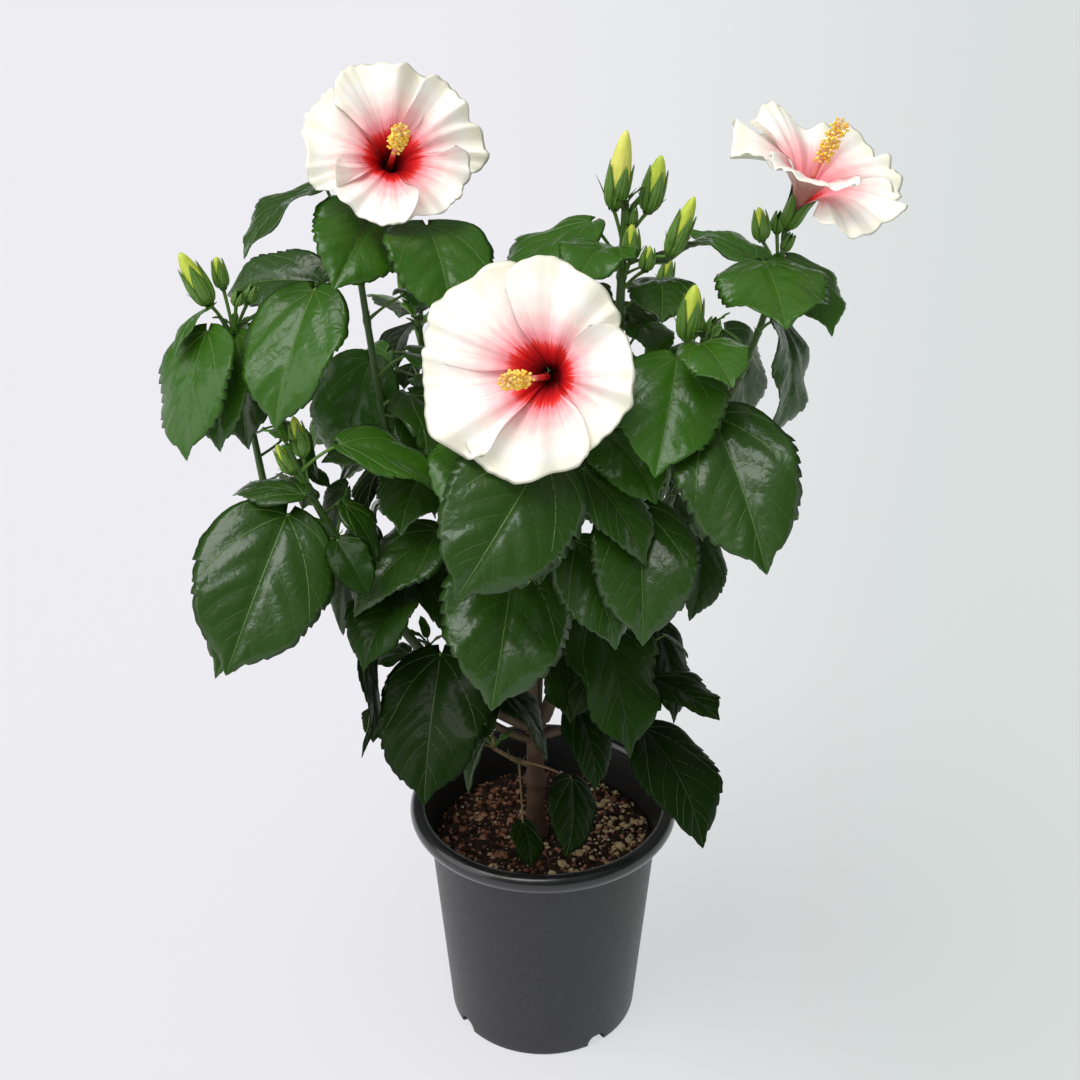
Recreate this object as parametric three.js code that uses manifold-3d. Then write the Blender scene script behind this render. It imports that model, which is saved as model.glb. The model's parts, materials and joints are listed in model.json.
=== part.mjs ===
// Hibiscus shrub in its round nursery pot.
// Millimetres, +Z up. The origin is the middle of the pot's flat underside.
// A direction is given as a turn (degrees about +Z from +X, so -90 is the front) and a rise.

import * as THREE from "three";
import { mergeVertices } from "three/addons/utils/BufferGeometryUtils.js";
import Module from "manifold-3d";

// ---------------------------------------------------------------- driving dimensions

const GAP = 0.3; // clear space between neighbouring solids

const POT = {
  height: 192.5,
  wall: 1.8,
  floor: 2.4,
  footRadius: 72,
  neckRadius: 86.4, // outside of the wall, just under the rim
  neckHeight: 176,
  rimRadius: 100,
  rimWidth: 10,
  rimHeight: 14,
  notchCount: 4,
  notchTurn: 35,
  notchRadius: 8,
  notchRise: 2,
  segments: 36,
};

const MIX = { surface: 158.3, bump: 1.6, bareRadius: 28, segments: 20, rings: 4 };

const TRUNK = {
  foot: [-5.5, 0, MIX.surface + GAP],
  reach: 0.5,
  rise: 107,
  footRadius: 6.8,
  topRadius: 6.2,
  flare: 2.6, // extra radius of the root flare at the mix
  flareLength: 0.09, // as a share of the trunk's length
  collar: 2.2, // extra radius of the thick collars
  collars: [0.46, 0.93], // places of the collars along the trunk
  collarLength: 0.045,
};

// A limb leaves its parent at a share `at` of the parent's length, then rises and reaches out
// on one bend: `out` and `up` are the shares of its reach and rise at the bend's control point.
const limb = (name, parent, at, turn, reach, rise, out, up, thick, thin) => ({
  name, parent, at, turn, reach, rise, out, up, thick, thin,
});

const BOUGHS = [
  limb("bough_right_main", "trunk", 0.97, 2, 48, 258, 0.87, 0.45, 5.2, 3.6),
  limb("bough_right", "bough_right_main", 0.45, 8, 98, 155, 0.6, 0.35, 3.6, 2.6),
  limb("bough_right_front", "bough_right_main", 0.36, -38, 56, 95, 0.6, 0.35, 3.4, 2.6),
  limb("bough_centre", "trunk", 0.95, -95, 40, 160, 0.6, 0.4, 4.0, 3.0),
  limb("bough_upper_left", "trunk", 0.97, 174, 90, 190, 0.85, 0.45, 4.6, 3.0),
  limb("bough_left", "bough_upper_left", 0.6, 184, 104, 55, 0.5, 0.35, 3.4, 2.8),
  limb("bough_low_left", "trunk", 0.93, 207, 105, 130, 0.6, 0.35, 4.0, 3.2),
  limb("bough_back_left", "trunk", 0.95, 130, 92, 130, 0.6, 0.4, 4.0, 2.8),
  limb("bough_back", "trunk", 0.98, 84, 70, 150, 0.6, 0.4, 4.0, 2.8),
  limb("bough_back_right", "bough_right_main", 0.2, 46, 70, 110, 0.6, 0.35, 3.8, 2.8),
  limb("bough_lower_right", "trunk", 0.85, -33, 55, 48, 0.6, 0.4, 3.2, 2.4),
  limb("bough_lower_left", "trunk", 0.82, 212, 48, 45, 0.6, 0.4, 3.2, 2.4),
  limb("bough_lower_back", "trunk", 0.88, 105, 48, 50, 0.6, 0.4, 3.2, 2.4),
];

// A leaf: its stalk leaves the stem at `at`, in the direction `turn`, `rise`. The blade then
// points to `heading` and hangs by `hang` below the level, turned by `roll` about its midrib.
// `wide` is the blade's width as a share of its length.
const leaf = (at, turn, rise, stalk, blade, wide, heading, hang, roll) => ({
  at, turn, rise, stalk, blade, wide, heading, hang, roll,
});

// A flower bud: `lean` and `tilt` are the direction of its axis.
const bud = (at, turn, rise, stalk, lean, tilt, length, girth) => ({
  at, turn, rise, stalk, lean, tilt, length, girth,
});

// An open bloom on a stalk from the stem's tip: its foot stands at `foot`, and it faces
// along `facing`, `lift`.
const bloom = (foot, facing, lift, radius, spin) => ({ foot, facing, lift, radius, spin });

// Leaves that grow by rule: `count` of them from `from` to `to` along the stem, a golden angle
// apart, with blades of `small` to `large` that hang by `hang` at the foot of the stem.
const fill = (count, from, to, first, small, large, hang, seed) => ({
  count, from, to, first, small, large, hang, seed,
});

const MASSES = [
  {
    name: "foliage_low_left",
    stem: limb("", "bough_low_left", 1, 194, 59, 127, 0.62, 0.45, 3.2, 2.2),
    leaves: [
      leaf(0.55, -140, 30, 35, 110, 0.86, -115, 40, -30),
      leaf(0.28, 80, 10, 40, 76, 0.78, -140, 60, 0),
      leaf(0.33, 150, 10, 34, 112, 0.66, -125, 32, 0),
      leaf(0.47, 75, 45, 35, 48, 0.7, 160, 65, -45),
      leaf(0.57, -125, 55, 33, 54, 0.78, 160, 5, -5),
      leaf(0.25, -20, -10, 32, 66, 0.85, -115, 25, 5),
      leaf(0.1, 160, -45, 28, 103, 0.6, -80, 70, -75),
      leaf(0.23, 5, 30, 60, 80, 0.8, -140, 25, 0),
    ],
    buds: [
      bud(0.75, -165, 85, 25, 150, 78, 27, 11),
      bud(0.7, -155, 60, 25, 160, 60, 21, 9),
    ],
    blooms: [],
    fill: fill(3, 0.15, 0.85, 100, 60, 85, 55, 11),
  },
  {
    name: "foliage_left",
    stem: limb("", "bough_left", 1, 188, 15, 140, 0.6, 0.5, 2.8, 1.8),
    leaves: [
      leaf(0.88, -130, 45, 33, 84, 0.86, -105, 50, 20),
      leaf(0.75, -100, 80, 34, 76, 0.76, -100, 50, 20),
      leaf(0.85, 80, 15, 34, 81, 0.76, -95, 50, 25),
      leaf(0.9, 170, 65, 33, 48, 0.5, -115, 20, 35),
      leaf(1.0, 25, 20, 67, 78, 0.68, 160, 10, -30),
    ],
    buds: [
      bud(0.97, -165, 60, 27, 165, 62, 38, 15),
      bud(1.0, 125, 70, 28, 140, 78, 21, 9),
      bud(0.97, 15, 65, 25, 40, 60, 12, 7),
      bud(0.95, -45, 80, 27, -30, 65, 11, 7),
    ],
    blooms: [],
    fill: fill(6, 0.45, 0.98, 60, 60, 85, 50, 12),
  },
  {
    name: "foliage_upper_left",
    stem: limb("", "bough_upper_left", 1, 172, 18, 145, 0.6, 0.5, 3.0, 2.2),
    leaves: [
      leaf(1.0, -130, 5, 41, 93, 0.8, -110, 45, 5),
      leaf(1.0, 160, 70, 64, 76, 0.6, -135, 20, 15),
      leaf(1.0, 5, 75, 47, 80, 0.9, -105, 15, -30),
      leaf(1.0, -25, 40, 66, 80, 0.94, -75, 30, -5),
      leaf(0.8, 15, 30, 35, 60, 0.7, -65, 0, -10),
      leaf(0.38, 110, 45, 34, 86, 0.88, -145, 70, -30),
      leaf(0.23, -60, 5, 37, 64, 0.72, -150, -10, -10),
      leaf(0.17, -65, 5, 39, 55, 0.85, 65, -15, -15),
      leaf(0.15, -35, 5, 41, 72, 0.9, -110, 15, 10),
    ],
    buds: [],
    blooms: [bloom([-101, 36, 660], -77, 34, 61, 20)],
    fill: fill(7, 0.1, 0.95, 40, 60, 90, 45, 13),
  },
  {
    name: "foliage_centre",
    stem: limb("", "bough_centre", 1, 270, 6, 100, 0.5, 0.5, 3.0, 2.2),
    leaves: [
      leaf(1.0, -75, 0, 39, 108, 0.86, -125, 35, -35),
      leaf(0.1, -115, 5, 23, 102, 0.92, -100, 35, -15),
      leaf(0.78, -155, 35, 33, 64, 0.9, -120, 15, -5),
    ],
    buds: [],
    blooms: [bloom([-2, -60, 563], -104, 24, 69, -8)],
    fill: fill(6, 0.1, 0.9, 20, 60, 90, 45, 14),
  },
  {
    name: "foliage_top",
    stem: limb("", "bough_right_main", 1, -34, 4, 128, 0.5, 0.5, 3.6, 2.4),
    leaves: [
      leaf(0.7, 145, 45, 35, 88, 0.72, -145, 20, 5),
      leaf(0.65, -110, 50, 34, 60, 0.85, -115, 0, 0),
      leaf(0.45, 5, 40, 34, 58, 0.9, -90, 5, 0),
      leaf(0.65, 40, 0, 40, 55, 0.6, -55, -30, 0),
      leaf(0.25, 120, 60, 33, 60, 0.7, 50, 40, 0),
      leaf(0.15, 35, 50, 33, 50, 0.7, -80, 5, 0),
    ],
    buds: [
      bud(0.8, -165, 75, 27, 0, 82, 50, 16),
      bud(0.8, 15, 55, 27, 0, 78, 37, 15),
      bud(0.7, -25, 20, 34, 0, 70, 41, 13),
      bud(0.57, -50, 70, 25, -90, 85, 24, 11),
      bud(0.72, 20, 80, 25, 0, 85, 13, 8),
      bud(0.57, -35, 45, 25, 0, 80, 16, 9),
    ],
    blooms: [],
    fill: fill(8, 0.1, 0.95, 70, 60, 90, 45, 15),
  },
  {
    name: "foliage_right",
    stem: limb("", "bough_right", 1, 10, 25, 88, 0.6, 0.4, 2.6, 2.0),
    leaves: [
      leaf(0.7, -115, 55, 34, 80, 0.96, -85, 10, 0),
      leaf(0.62, 20, 70, 33, 64, 0.8, -60, 30, -10),
      leaf(0.57, 115, 65, 33, 64, 0.78, 130, -5, 5),
      leaf(0.4, -70, 35, 34, 79, 0.66, -90, 50, -55),
      leaf(0.2, 105, 0, 47, 74, 0.82, -30, 70, 10),
    ],
    buds: [
      bud(0.85, -155, 60, 27, 180, 82, 22, 11),
      bud(0.85, 110, 80, 26, 0, 85, 14, 9),
      bud(0.72, 30, 75, 27, 0, 65, 13, 6),
    ],
    blooms: [bloom([158, 22, 632], -35, 66, 62, 50)],
    fill: fill(6, 0.05, 0.9, 0, 60, 88, 50, 16),
  },
  {
    name: "foliage_right_front",
    stem: limb("", "bough_right_front", 1, -45, 37, 143, 0.5, 0.4, 2.6, 2.0),
    leaves: [
      leaf(0.7, -150, 75, 34, 84, 0.88, -100, 35, -5),
      leaf(0.8, -80, 65, 35, 56, 0.85, -75, 5, 5),
      leaf(0.62, -60, 25, 34, 106, 0.82, -65, 40, 15),
      leaf(0.45, 170, 10, 45, 66, 0.84, -60, 15, 5),
      leaf(0.55, 115, 15, 44, 58, 0.8, -80, 15, -20),
      leaf(0.25, -125, 0, 34, 91, 0.88, -90, 45, -15),
      leaf(0.1, 20, -35, 35, 64, 0.82, -95, 45, -40),
    ],
    buds: [
      bud(0.82, -145, 75, 28, 0, 84, 36, 16),
      bud(0.85, 10, 70, 25, 0, 78, 12, 9),
    ],
    blooms: [],
    fill: fill(4, 0.05, 0.9, -20, 55, 80, 50, 17),
  },
  {
    name: "foliage_lower_right",
    stem: limb("", "bough_lower_right", 1, -20, 23, 55, 0.5, 0.5, 2.4, 1.8),
    leaves: [
      leaf(1.0, -170, 45, 50, 108, 0.7, -70, 42, -20),
      leaf(0.8, 70, 0, 48, 76, 0.66, -75, 40, -25),
      leaf(0.25, -35, 35, 34, 66, 0.78, -50, 0, -5),
      leaf(0.1, 10, -50, 39, 95, 0.72, -60, 30, -10),
      leaf(0.15, -165, -10, 27, 61, 0.72, -70, 40, -25),
      leaf(0.4, 165, 20, 50, 54, 0.86, -70, 40, -20),
    ],
    buds: [],
    blooms: [],
    fill: fill(5, 0.1, 0.95, 30, 60, 85, 55, 18),
  },
  {
    name: "foliage_lower_left",
    stem: limb("", "bough_lower_left", 1, 205, 32, 60, 0.5, 0.5, 2.4, 1.8),
    leaves: [
      leaf(1.0, -70, 20, 34, 101, 0.82, -95, 42, 10),
      leaf(0.1, 150, -20, 78, 34, 0.75, -105, 20, 15),
    ],
    buds: [],
    blooms: [],
    fill: fill(5, 0.1, 0.95, 170, 55, 80, 55, 19),
  },
  {
    name: "foliage_lower_back",
    stem: limb("", "bough_lower_back", 1, 100, 30, 62, 0.5, 0.5, 2.4, 1.8),
    leaves: [],
    buds: [],
    blooms: [],
    fill: fill(10, 0.05, 1.0, 20, 60, 88, 50, 24),
  },
  {
    name: "foliage_foot",
    stem: limb("", "trunk", 0.6, -150, 30, 26, 0.5, 0.4, 2.0, 1.4),
    leaves: [
      leaf(0.3, -30, 0, 44, 58, 0.8, -90, 36, -35),
      leaf(0.3, -85, -40, 46, 34, 0.78, -75, 35, -15),
      leaf(0.5, -170, 35, 26, 38, 0.6, -110, 42, 45),
      leaf(1.0, -95, 65, 61, 34, 0.85, -115, 35, 10),
    ],
    buds: [],
    blooms: [],
    fill: fill(1, 0.6, 0.9, 180, 40, 50, 50, 20),
  },
  {
    name: "foliage_back_left",
    stem: limb("", "bough_back_left", 1, 140, 24, 145, 0.6, 0.45, 2.8, 1.8),
    leaves: [],
    buds: [bud(0.95, 140, 70, 26, 150, 76, 26, 11)],
    blooms: [],
    fill: fill(14, 0.03, 1.0, 130, 60, 90, 65, 21),
  },
  {
    name: "foliage_back",
    stem: limb("", "bough_back", 1, 95, 26, 115, 0.6, 0.45, 2.8, 1.8),
    leaves: [],
    buds: [bud(0.97, 60, 75, 26, 60, 80, 30, 12)],
    blooms: [],
    fill: fill(14, 0.03, 1.0, 90, 60, 90, 65, 22),
  },
  {
    name: "foliage_back_right",
    stem: limb("", "bough_back_right", 1, 75, 30, 125, 0.6, 0.45, 2.8, 1.8),
    leaves: [],
    buds: [bud(0.95, 20, 70, 26, 30, 76, 24, 11)],
    blooms: [],
    fill: fill(14, 0.03, 1.0, 50, 56, 84, 70, 23),
  },
];

const LEAF = {
  rows: [0.05, 0.27, 0.56, 0.82], // places along the blade where it has its corners
  thickness: 2.2, // at the midrib
  stalkRadius: 1.2,
  fold: [8, 14], // least angle of each half above level, and its spread
  bend: [25, 25], // least curl from root to tip, and its spread
  lobe: 0.07, // how far the root lobes reach back, as a share of the length
};

const BUD = {
  stalkRadius: 1.4,
  profile: [[0.7, 0.07], [1, 0.35], [0.8, 0.65], [0, 1]], // shares of half girth and length
};

const BLOOM = {
  petals: 5,
  rows: 4,
  columns: 3,
  thickness: 1.4,
  depth: 44, // from the foot to the plane of the rim
  footRadius: 3,
  spread: 50, // half the angle that one petal takes
  slant: 6, // how far one edge lies over the next petal
  ruffle: 3.5,
  column: 84,
  columnRadius: 2,
  headLength: 30,
  headRadius: 6,
  calyxLength: 28,
  calyxRadius: 8,
  sepalDrop: 4, // from the foot of the petals down to the foot of the calyx
  stalkRadius: 1.7,
};

const SPACE = {
  rings: 10, // places along a blade where its clearance is taken
  ribs: 7, // and across it
  clear: 8, // least distance from a leaf that grows by rule to what is there already
  tries: 9, // directions that each of those leaves is tried in
  retry: 40, // turn from one try to the next
};

// Leaves that grow by rule stay inside this egg-shaped crown.
const CROWN = { middle: [-26, 25, 435], reach: [178, 220, 185] };

const SIDES = { trunk: 12, bough: 7, stem: 5, bud: 5, column: 6, calyx: 6 };
const STEPS = { trunk: 12, bough: 6, stem: 4, bloomStalk: 3, stalk: 1 };

const GOLDEN_ANGLE = 137.5;
const BRANCH_FOOT = 0.8; // a branch starts this share of its parent's radius off the middle

// ---------------------------------------------------------------- finishes

const finish = (color, roughness) => new THREE.MeshStandardMaterial({ color, roughness, metalness: 0 });
const POT_BLACK = finish(0x161719, 0.45);
const MIX_BROWN = finish(0x3a2519, 0.95);
const BARK_TAN = finish(0x8a6f4e, 0.85);
const STEM_GREEN = finish(0x4f6b2c, 0.6);
const LEAF_GREEN = finish(0x2f5a22, 0.4);

// ---------------------------------------------------------------- directions and chance

const RADIAN = Math.PI / 180;

function direction(turn, rise) {
  const flat = Math.cos(rise * RADIAN);
  return new THREE.Vector3(
    Math.cos(turn * RADIAN) * flat,
    Math.sin(turn * RADIAN) * flat,
    Math.sin(rise * RADIAN),
  );
}

// A repeatable chance in 0..1, from a whole-number seed.
function chance(seed) {
  let state = Math.imul(seed, 2654435761) >>> 0;
  return () => {
    state = (Math.imul(state, 1664525) + 1013904223) >>> 0;
    return state / 4294967296;
  };
}

const share = (value) => value - Math.floor(value);

// ---------------------------------------------------------------- closed solids

const wasm = await Module();
wasm.setup();

// A closed geometry becomes a solid, with its faces turned out.
function solid(geometry) {
  geometry.deleteAttribute("normal");
  geometry.deleteAttribute("uv");
  const merged = mergeVertices(geometry, 1e-4);
  const place = merged.getAttribute("position").array;
  const corners = merged.getIndex().array;
  const faces = [];
  let volume = 0;
  const [a, b, c] = [new THREE.Vector3(), new THREE.Vector3(), new THREE.Vector3()];
  for (let i = 0; i < corners.length; i += 3) {
    const [p, q, r] = [corners[i], corners[i + 1], corners[i + 2]];
    if (p === q || q === r || r === p) continue;
    faces.push(p, q, r);
    a.fromArray(place, 3 * p);
    b.fromArray(place, 3 * q);
    c.fromArray(place, 3 * r);
    volume += a.dot(b.cross(c));
  }
  if (volume < 0) faces.reverse();
  return new wasm.Manifold(new wasm.Mesh({
    numProp: 3,
    vertProperties: new Float32Array(place),
    triVerts: new Uint32Array(faces),
  }));
}

// The largest body of a join: a loose scrap or a sealed hollow is left out.
function mainBody(manifold) {
  const bodies = manifold.decompose();
  return bodies.reduce((best, body) => (body.volume() > best.volume() ? body : best));
}

function geometryOf(manifold) {
  const mesh = manifold.getMesh();
  const geometry = new THREE.BufferGeometry();
  geometry.setAttribute("position", new THREE.BufferAttribute(new Float32Array(mesh.vertProperties), 3));
  geometry.setIndex(new THREE.BufferAttribute(new Uint32Array(mesh.triVerts), 1));
  geometry.computeVertexNormals();
  return geometry;
}

const join = (solids) => solids.reduce((whole, piece) => whole.add(piece));

// ---------------------------------------------------------------- limbs

function limbCurve(start, spec) {
  const out = direction(spec.turn, 0).multiplyScalar(spec.reach);
  const bend = start.clone().addScaledVector(out, spec.out);
  bend.z += spec.rise * spec.up;
  const end = start.clone().add(out);
  end.z += spec.rise;
  return new THREE.QuadraticBezierCurve3(start, bend, end);
}

// The direction of a bend at t, which may lie a little beyond either end.
function heading(curve, t) {
  const { v0, v1, v2 } = curve;
  const first = v1.clone().sub(v0).multiplyScalar(1 - t);
  return first.addScaledVector(v2.clone().sub(v1), t).normalize();
}

// A closed body through rings of equally many corners. A ring may shrink to a point.
function loft(rings) {
  const sides = rings[0].length;
  const faces = [];
  for (let i = 0; i + 1 < rings.length; i += 1) {
    for (let j = 0; j < sides; j += 1) {
      const [a, b] = [i * sides + j, i * sides + ((j + 1) % sides)];
      faces.push(a, b, b + sides, a, b + sides, a + sides);
    }
  }
  const last = (rings.length - 1) * sides;
  for (let j = 1; j + 1 < sides; j += 1) faces.push(0, j + 1, j, last, last + j, last + j + 1);
  const geometry = new THREE.BufferGeometry().setFromPoints(rings.flat());
  return geometry.setIndex(faces);
}

// A round ring square to a direction; its corners are counted from the side `aside`.
function ring(middle, along, aside, radius, sides) {
  const first = aside.clone().addScaledVector(along, -aside.dot(along)).normalize();
  const second = new THREE.Vector3().crossVectors(along, first);
  return Array.from({ length: sides }, (_, k) => {
    const angle = (2 * Math.PI * k) / sides;
    return middle.clone()
      .addScaledVector(first, radius * Math.cos(angle))
      .addScaledVector(second, radius * Math.sin(angle));
  });
}

// A direction well off the line of a bend, to count the corners of its rings from.
function sideOf(curve) {
  const first = heading(curve, 0);
  return Math.abs(first.x) < 0.7 ? new THREE.Vector3(1, 0, 0) : new THREE.Vector3(0, 1, 0);
}

// A round bar along a bend. `over` is the share of its length that it runs on at either end.
function bar(curve, radius, sides, steps, over = 0) {
  const aside = sideOf(curve);
  return loft(Array.from({ length: steps + 1 }, (_, i) => {
    const t = (i / steps) * (1 + 2 * over) - over;
    return ring(curve.getPoint(t), heading(curve, t), aside, radius(t), sides);
  }));
}

const taper = (thick, thin) => (t) => thick + (thin - thick) * t;

function trunkRadius(t) {
  const flare = TRUNK.flare * Math.exp(-t / TRUNK.flareLength);
  const collars = TRUNK.collars.map((place) => {
    const away = (t - place) / TRUNK.collarLength;
    return TRUNK.collar * Math.exp(-away * away);
  });
  return taper(TRUNK.footRadius, TRUNK.topRadius)(t) + flare + Math.max(...collars);
}

// ---------------------------------------------------------------- leaves

// The three directions of a blade: along the midrib, across it, and out of its upper face.
function bladeAxes(heading, hang, roll) {
  const along = direction(heading, -hang);
  const over = direction(heading, 90 - hang);
  const across = new THREE.Vector3().crossVectors(over, along);
  const turned = roll * RADIAN;
  return {
    along,
    across: across.clone().multiplyScalar(Math.cos(turned)).addScaledVector(over, Math.sin(turned)),
    over: over.clone().multiplyScalar(Math.cos(turned)).addScaledVector(across, -Math.sin(turned)),
  };
}

// Half width of a blade along its length: round at the root, broad below the middle, pointed.
const BROADEST = { root: 0.5, tip: 0.98 };
function outline(t) {
  const { root, tip } = BROADEST;
  const peak = (root / (root + tip)) ** root * (tip / (root + tip)) ** tip;
  return (Math.max(t, 0) ** root * Math.max(1 - t, 0) ** tip) / peak;
}

// The middle surface of a blade: t runs from root to tip, s from edge to edge.
function leafSurface(root, spec, number) {
  const { along, across, over } = bladeAxes(spec.heading, spec.hang, spec.roll);
  const bend = (LEAF.bend[0] + LEAF.bend[1] * share(number * 0.618)) * RADIAN;
  const fold = (LEAF.fold[0] + LEAF.fold[1] * share(number * 0.382)) * RADIAN;
  const radius = spec.blade / (2 * Math.sin(bend / 2));
  return (t, s) => {
    const angle = bend * (t - 0.5);
    const half = (spec.blade * spec.wide * outline(t) * Math.abs(s)) / 2;
    const raised = half * Math.sin(fold) * (1 - 0.55 * Math.abs(s));
    const back = LEAF.lobe * spec.blade * (1 - t) ** 6 * Math.abs(s) ** 1.5;
    const x = radius * (Math.sin(angle) + Math.sin(bend / 2)) - back + Math.sin(angle) * raised;
    const z = radius * (Math.cos(angle) - Math.cos(bend / 2)) + Math.cos(angle) * raised;
    return root.clone()
      .addScaledVector(along, x)
      .addScaledVector(across, Math.sign(s) * half * Math.cos(fold))
      .addScaledVector(over, z);
  };
}

// A closed blade about a middle surface, thickest in its middle and sharp at its margin.
function blade(surface, rows, columns, thickness) {
  const step = 1e-3;
  const place = [];
  const grid = (face, i, j) => (face * (rows + 1) + i) * (columns + 1) + j;
  for (const side of [1, -1]) {
    for (let i = 0; i <= rows; i += 1) {
      for (let j = 0; j <= columns; j += 1) {
        const [t, s] = [i / rows, (2 * j) / columns - 1];
        const point = surface(t, s);
        if (i > 0 && i < rows && j > 0 && j < columns) {
          const lengthwise = surface(t + step, s).sub(surface(t - step, s));
          const sideways = surface(t, s + step).sub(surface(t, s - step));
          const normal = lengthwise.cross(sideways).normalize();
          point.addScaledVector(normal, (side * thickness) / 2);
        }
        place.push(point.x, point.y, point.z);
      }
    }
  }
  const faces = [];
  for (const [face, flip] of [[0, false], [1, true]]) {
    for (let i = 0; i < rows; i += 1) {
      for (let j = 0; j < columns; j += 1) {
        const [a, b] = [grid(face, i, j), grid(face, i, j + 1)];
        const [c, d] = [grid(face, i + 1, j + 1), grid(face, i + 1, j)];
        faces.push(...(flip ? [a, c, b, a, d, c] : [a, b, c, a, c, d]));
      }
    }
  }
  const geometry = new THREE.BufferGeometry();
  geometry.setAttribute("position", new THREE.Float32BufferAttribute(place, 3));
  geometry.setIndex(faces);
  return geometry;
}

// Where a leaf's stalk starts on the stem, and where it meets the blade.
function stalkEnds(stem, spec) {
  const start = stem.getPoint(spec.at);
  const root = start.clone().addScaledVector(direction(spec.turn, spec.rise), spec.stalk);
  return { start, root };
}

function stalkCurve(start, end) {
  const middle = start.clone().lerp(end, 0.5);
  middle.z += start.distanceTo(end) * 0.12;
  return new THREE.QuadraticBezierCurve3(start, middle, end);
}

// A leaf is one body: the rings of its stalk go over into the blade, which is four-cornered
// across, with a sharp margin at either side.
function leafSolid(stem, spec, number) {
  const { start, root } = stalkEnds(stem, spec);
  const { along, across } = bladeAxes(spec.heading, spec.hang, spec.roll);
  const surface = leafSurface(root, spec, number);
  const stalk = stalkCurve(start, root);
  const rings = Array.from({ length: STEPS.stalk + 1 }, (_, i) => {
    const t = i / STEPS.stalk;
    const course = heading(stalk, t).lerp(along, t / 2).normalize();
    const aside = Math.abs(across.dot(course)) < 0.85 ? across : along;
    return ring(stalk.getPoint(t), course, aside, LEAF.stalkRadius, 4);
  });
  for (const t of LEAF.rows) {
    const [left, middle, right] = [surface(t, -1), surface(t, 0), surface(t, 1)];
    const lengthwise = surface(t + 0.01, 0).sub(surface(t - 0.01, 0));
    const up = lengthwise.cross(across).normalize().multiplyScalar(LEAF.thickness / 2);
    rings.push([right, middle.clone().add(up), left, middle.clone().sub(up)]);
  }
  rings.push(Array.from({ length: 4 }, () => surface(1, 0)));
  return solid(loft(rings));
}

// Points all over a blade, for the rule that keeps leaves apart.
function bladePoints(surface) {
  const points = [];
  for (let i = 1; i <= SPACE.rings; i += 1) {
    for (let j = 0; j < SPACE.ribs; j += 1) {
      points.push(surface(i / SPACE.rings, (2 * j) / (SPACE.ribs - 1) - 1));
    }
  }
  return points;
}

// Points along a bend, from one share of its length to another.
function linePoints(curve, from, to, count) {
  const points = [];
  for (let i = 0; i <= count; i += 1) points.push(curve.getPoint(from + ((to - from) * i) / count));
  return points;
}

// ---------------------------------------------------------------- buds

function budPlace(stem, spec) {
  const start = stem.getPoint(spec.at);
  const foot = start.clone().addScaledVector(direction(spec.turn, spec.rise), spec.stalk);
  return { start, foot, axis: direction(spec.lean, spec.tilt) };
}

function budSolid(stem, spec) {
  const { start, foot, axis } = budPlace(stem, spec);
  const stalk = stalkCurve(start, foot);
  const aside = sideOf(stalk);
  const rings = Array.from({ length: STEPS.stalk + 1 }, (_, i) => {
    const t = i / STEPS.stalk;
    const course = heading(stalk, t).lerp(axis, t / 2).normalize();
    return ring(stalk.getPoint(t), course, aside, BUD.stalkRadius, SIDES.bud);
  });
  for (const [wide, far] of BUD.profile) {
    const middle = foot.clone().addScaledVector(axis, spec.length * far);
    rings.push(ring(middle, axis, aside, (spec.girth / 2) * wide, SIDES.bud));
  }
  return solid(loft(rings));
}

// ---------------------------------------------------------------- blooms

// One petal's middle surface: a trumpet that opens from the foot to the rim.
function petalSurface(foot, axis, side, front, turn, radius, number) {
  return (t, s) => {
    const away = BLOOM.footRadius + (radius - BLOOM.footRadius) * t ** 1.9 * (1 - 0.1 * s ** 4);
    const angle = turn + s * BLOOM.spread * RADIAN * (0.75 + 0.25 * t);
    const wave = BLOOM.ruffle * t ** 3 * Math.sin(7 * s + number * 2.1);
    const height = BLOOM.depth * (1 - (1 - t) ** 2.4) + s * BLOOM.slant * t + wave;
    return foot.clone()
      .addScaledVector(axis, height)
      .addScaledVector(side, away * Math.cos(angle))
      .addScaledVector(front, away * Math.sin(angle));
  };
}

// The middle surface of every petal of a bloom, with the bloom's foot and axis.
function bloomFrame(spec) {
  const foot = new THREE.Vector3(...spec.foot);
  const axis = direction(spec.facing, spec.lift);
  const side = direction(spec.facing + 90, 0);
  const front = new THREE.Vector3().crossVectors(axis, side);
  const petals = [];
  for (let k = 0; k < BLOOM.petals; k += 1) {
    const turn = (spec.spin + (360 * k) / BLOOM.petals) * RADIAN;
    petals.push(petalSurface(foot, axis, side, front, turn, spec.radius, k));
  }
  return { foot, axis, petals };
}

// Points all over a bloom, for the rule that keeps leaves apart.
function bloomPoints(spec) {
  const { foot, axis, petals } = bloomFrame(spec);
  const points = [];
  for (const petal of petals) {
    for (const t of [0.3, 0.5, 0.65, 0.8, 0.9, 1]) {
      for (const s of [-1, -0.6, -0.2, 0.2, 0.6, 1]) points.push(petal(t, s));
    }
  }
  for (let k = 0; k <= 8; k += 1) points.push(foot.clone().addScaledVector(axis, (k / 8) * BLOOM.column));
  return points;
}

// The stalk of a bloom, from the tip of the stem up into the calyx.
function bloomStalk(stem, spec) {
  const start = stem.getPoint(1);
  const axis = direction(spec.facing, spec.lift);
  const low = new THREE.Vector3(...spec.foot).addScaledVector(axis, -BLOOM.sepalDrop);
  const bend = low.clone().addScaledVector(axis, -start.distanceTo(low) * 0.4);
  return new THREE.QuadraticBezierCurve3(start, bend, low);
}

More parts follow.
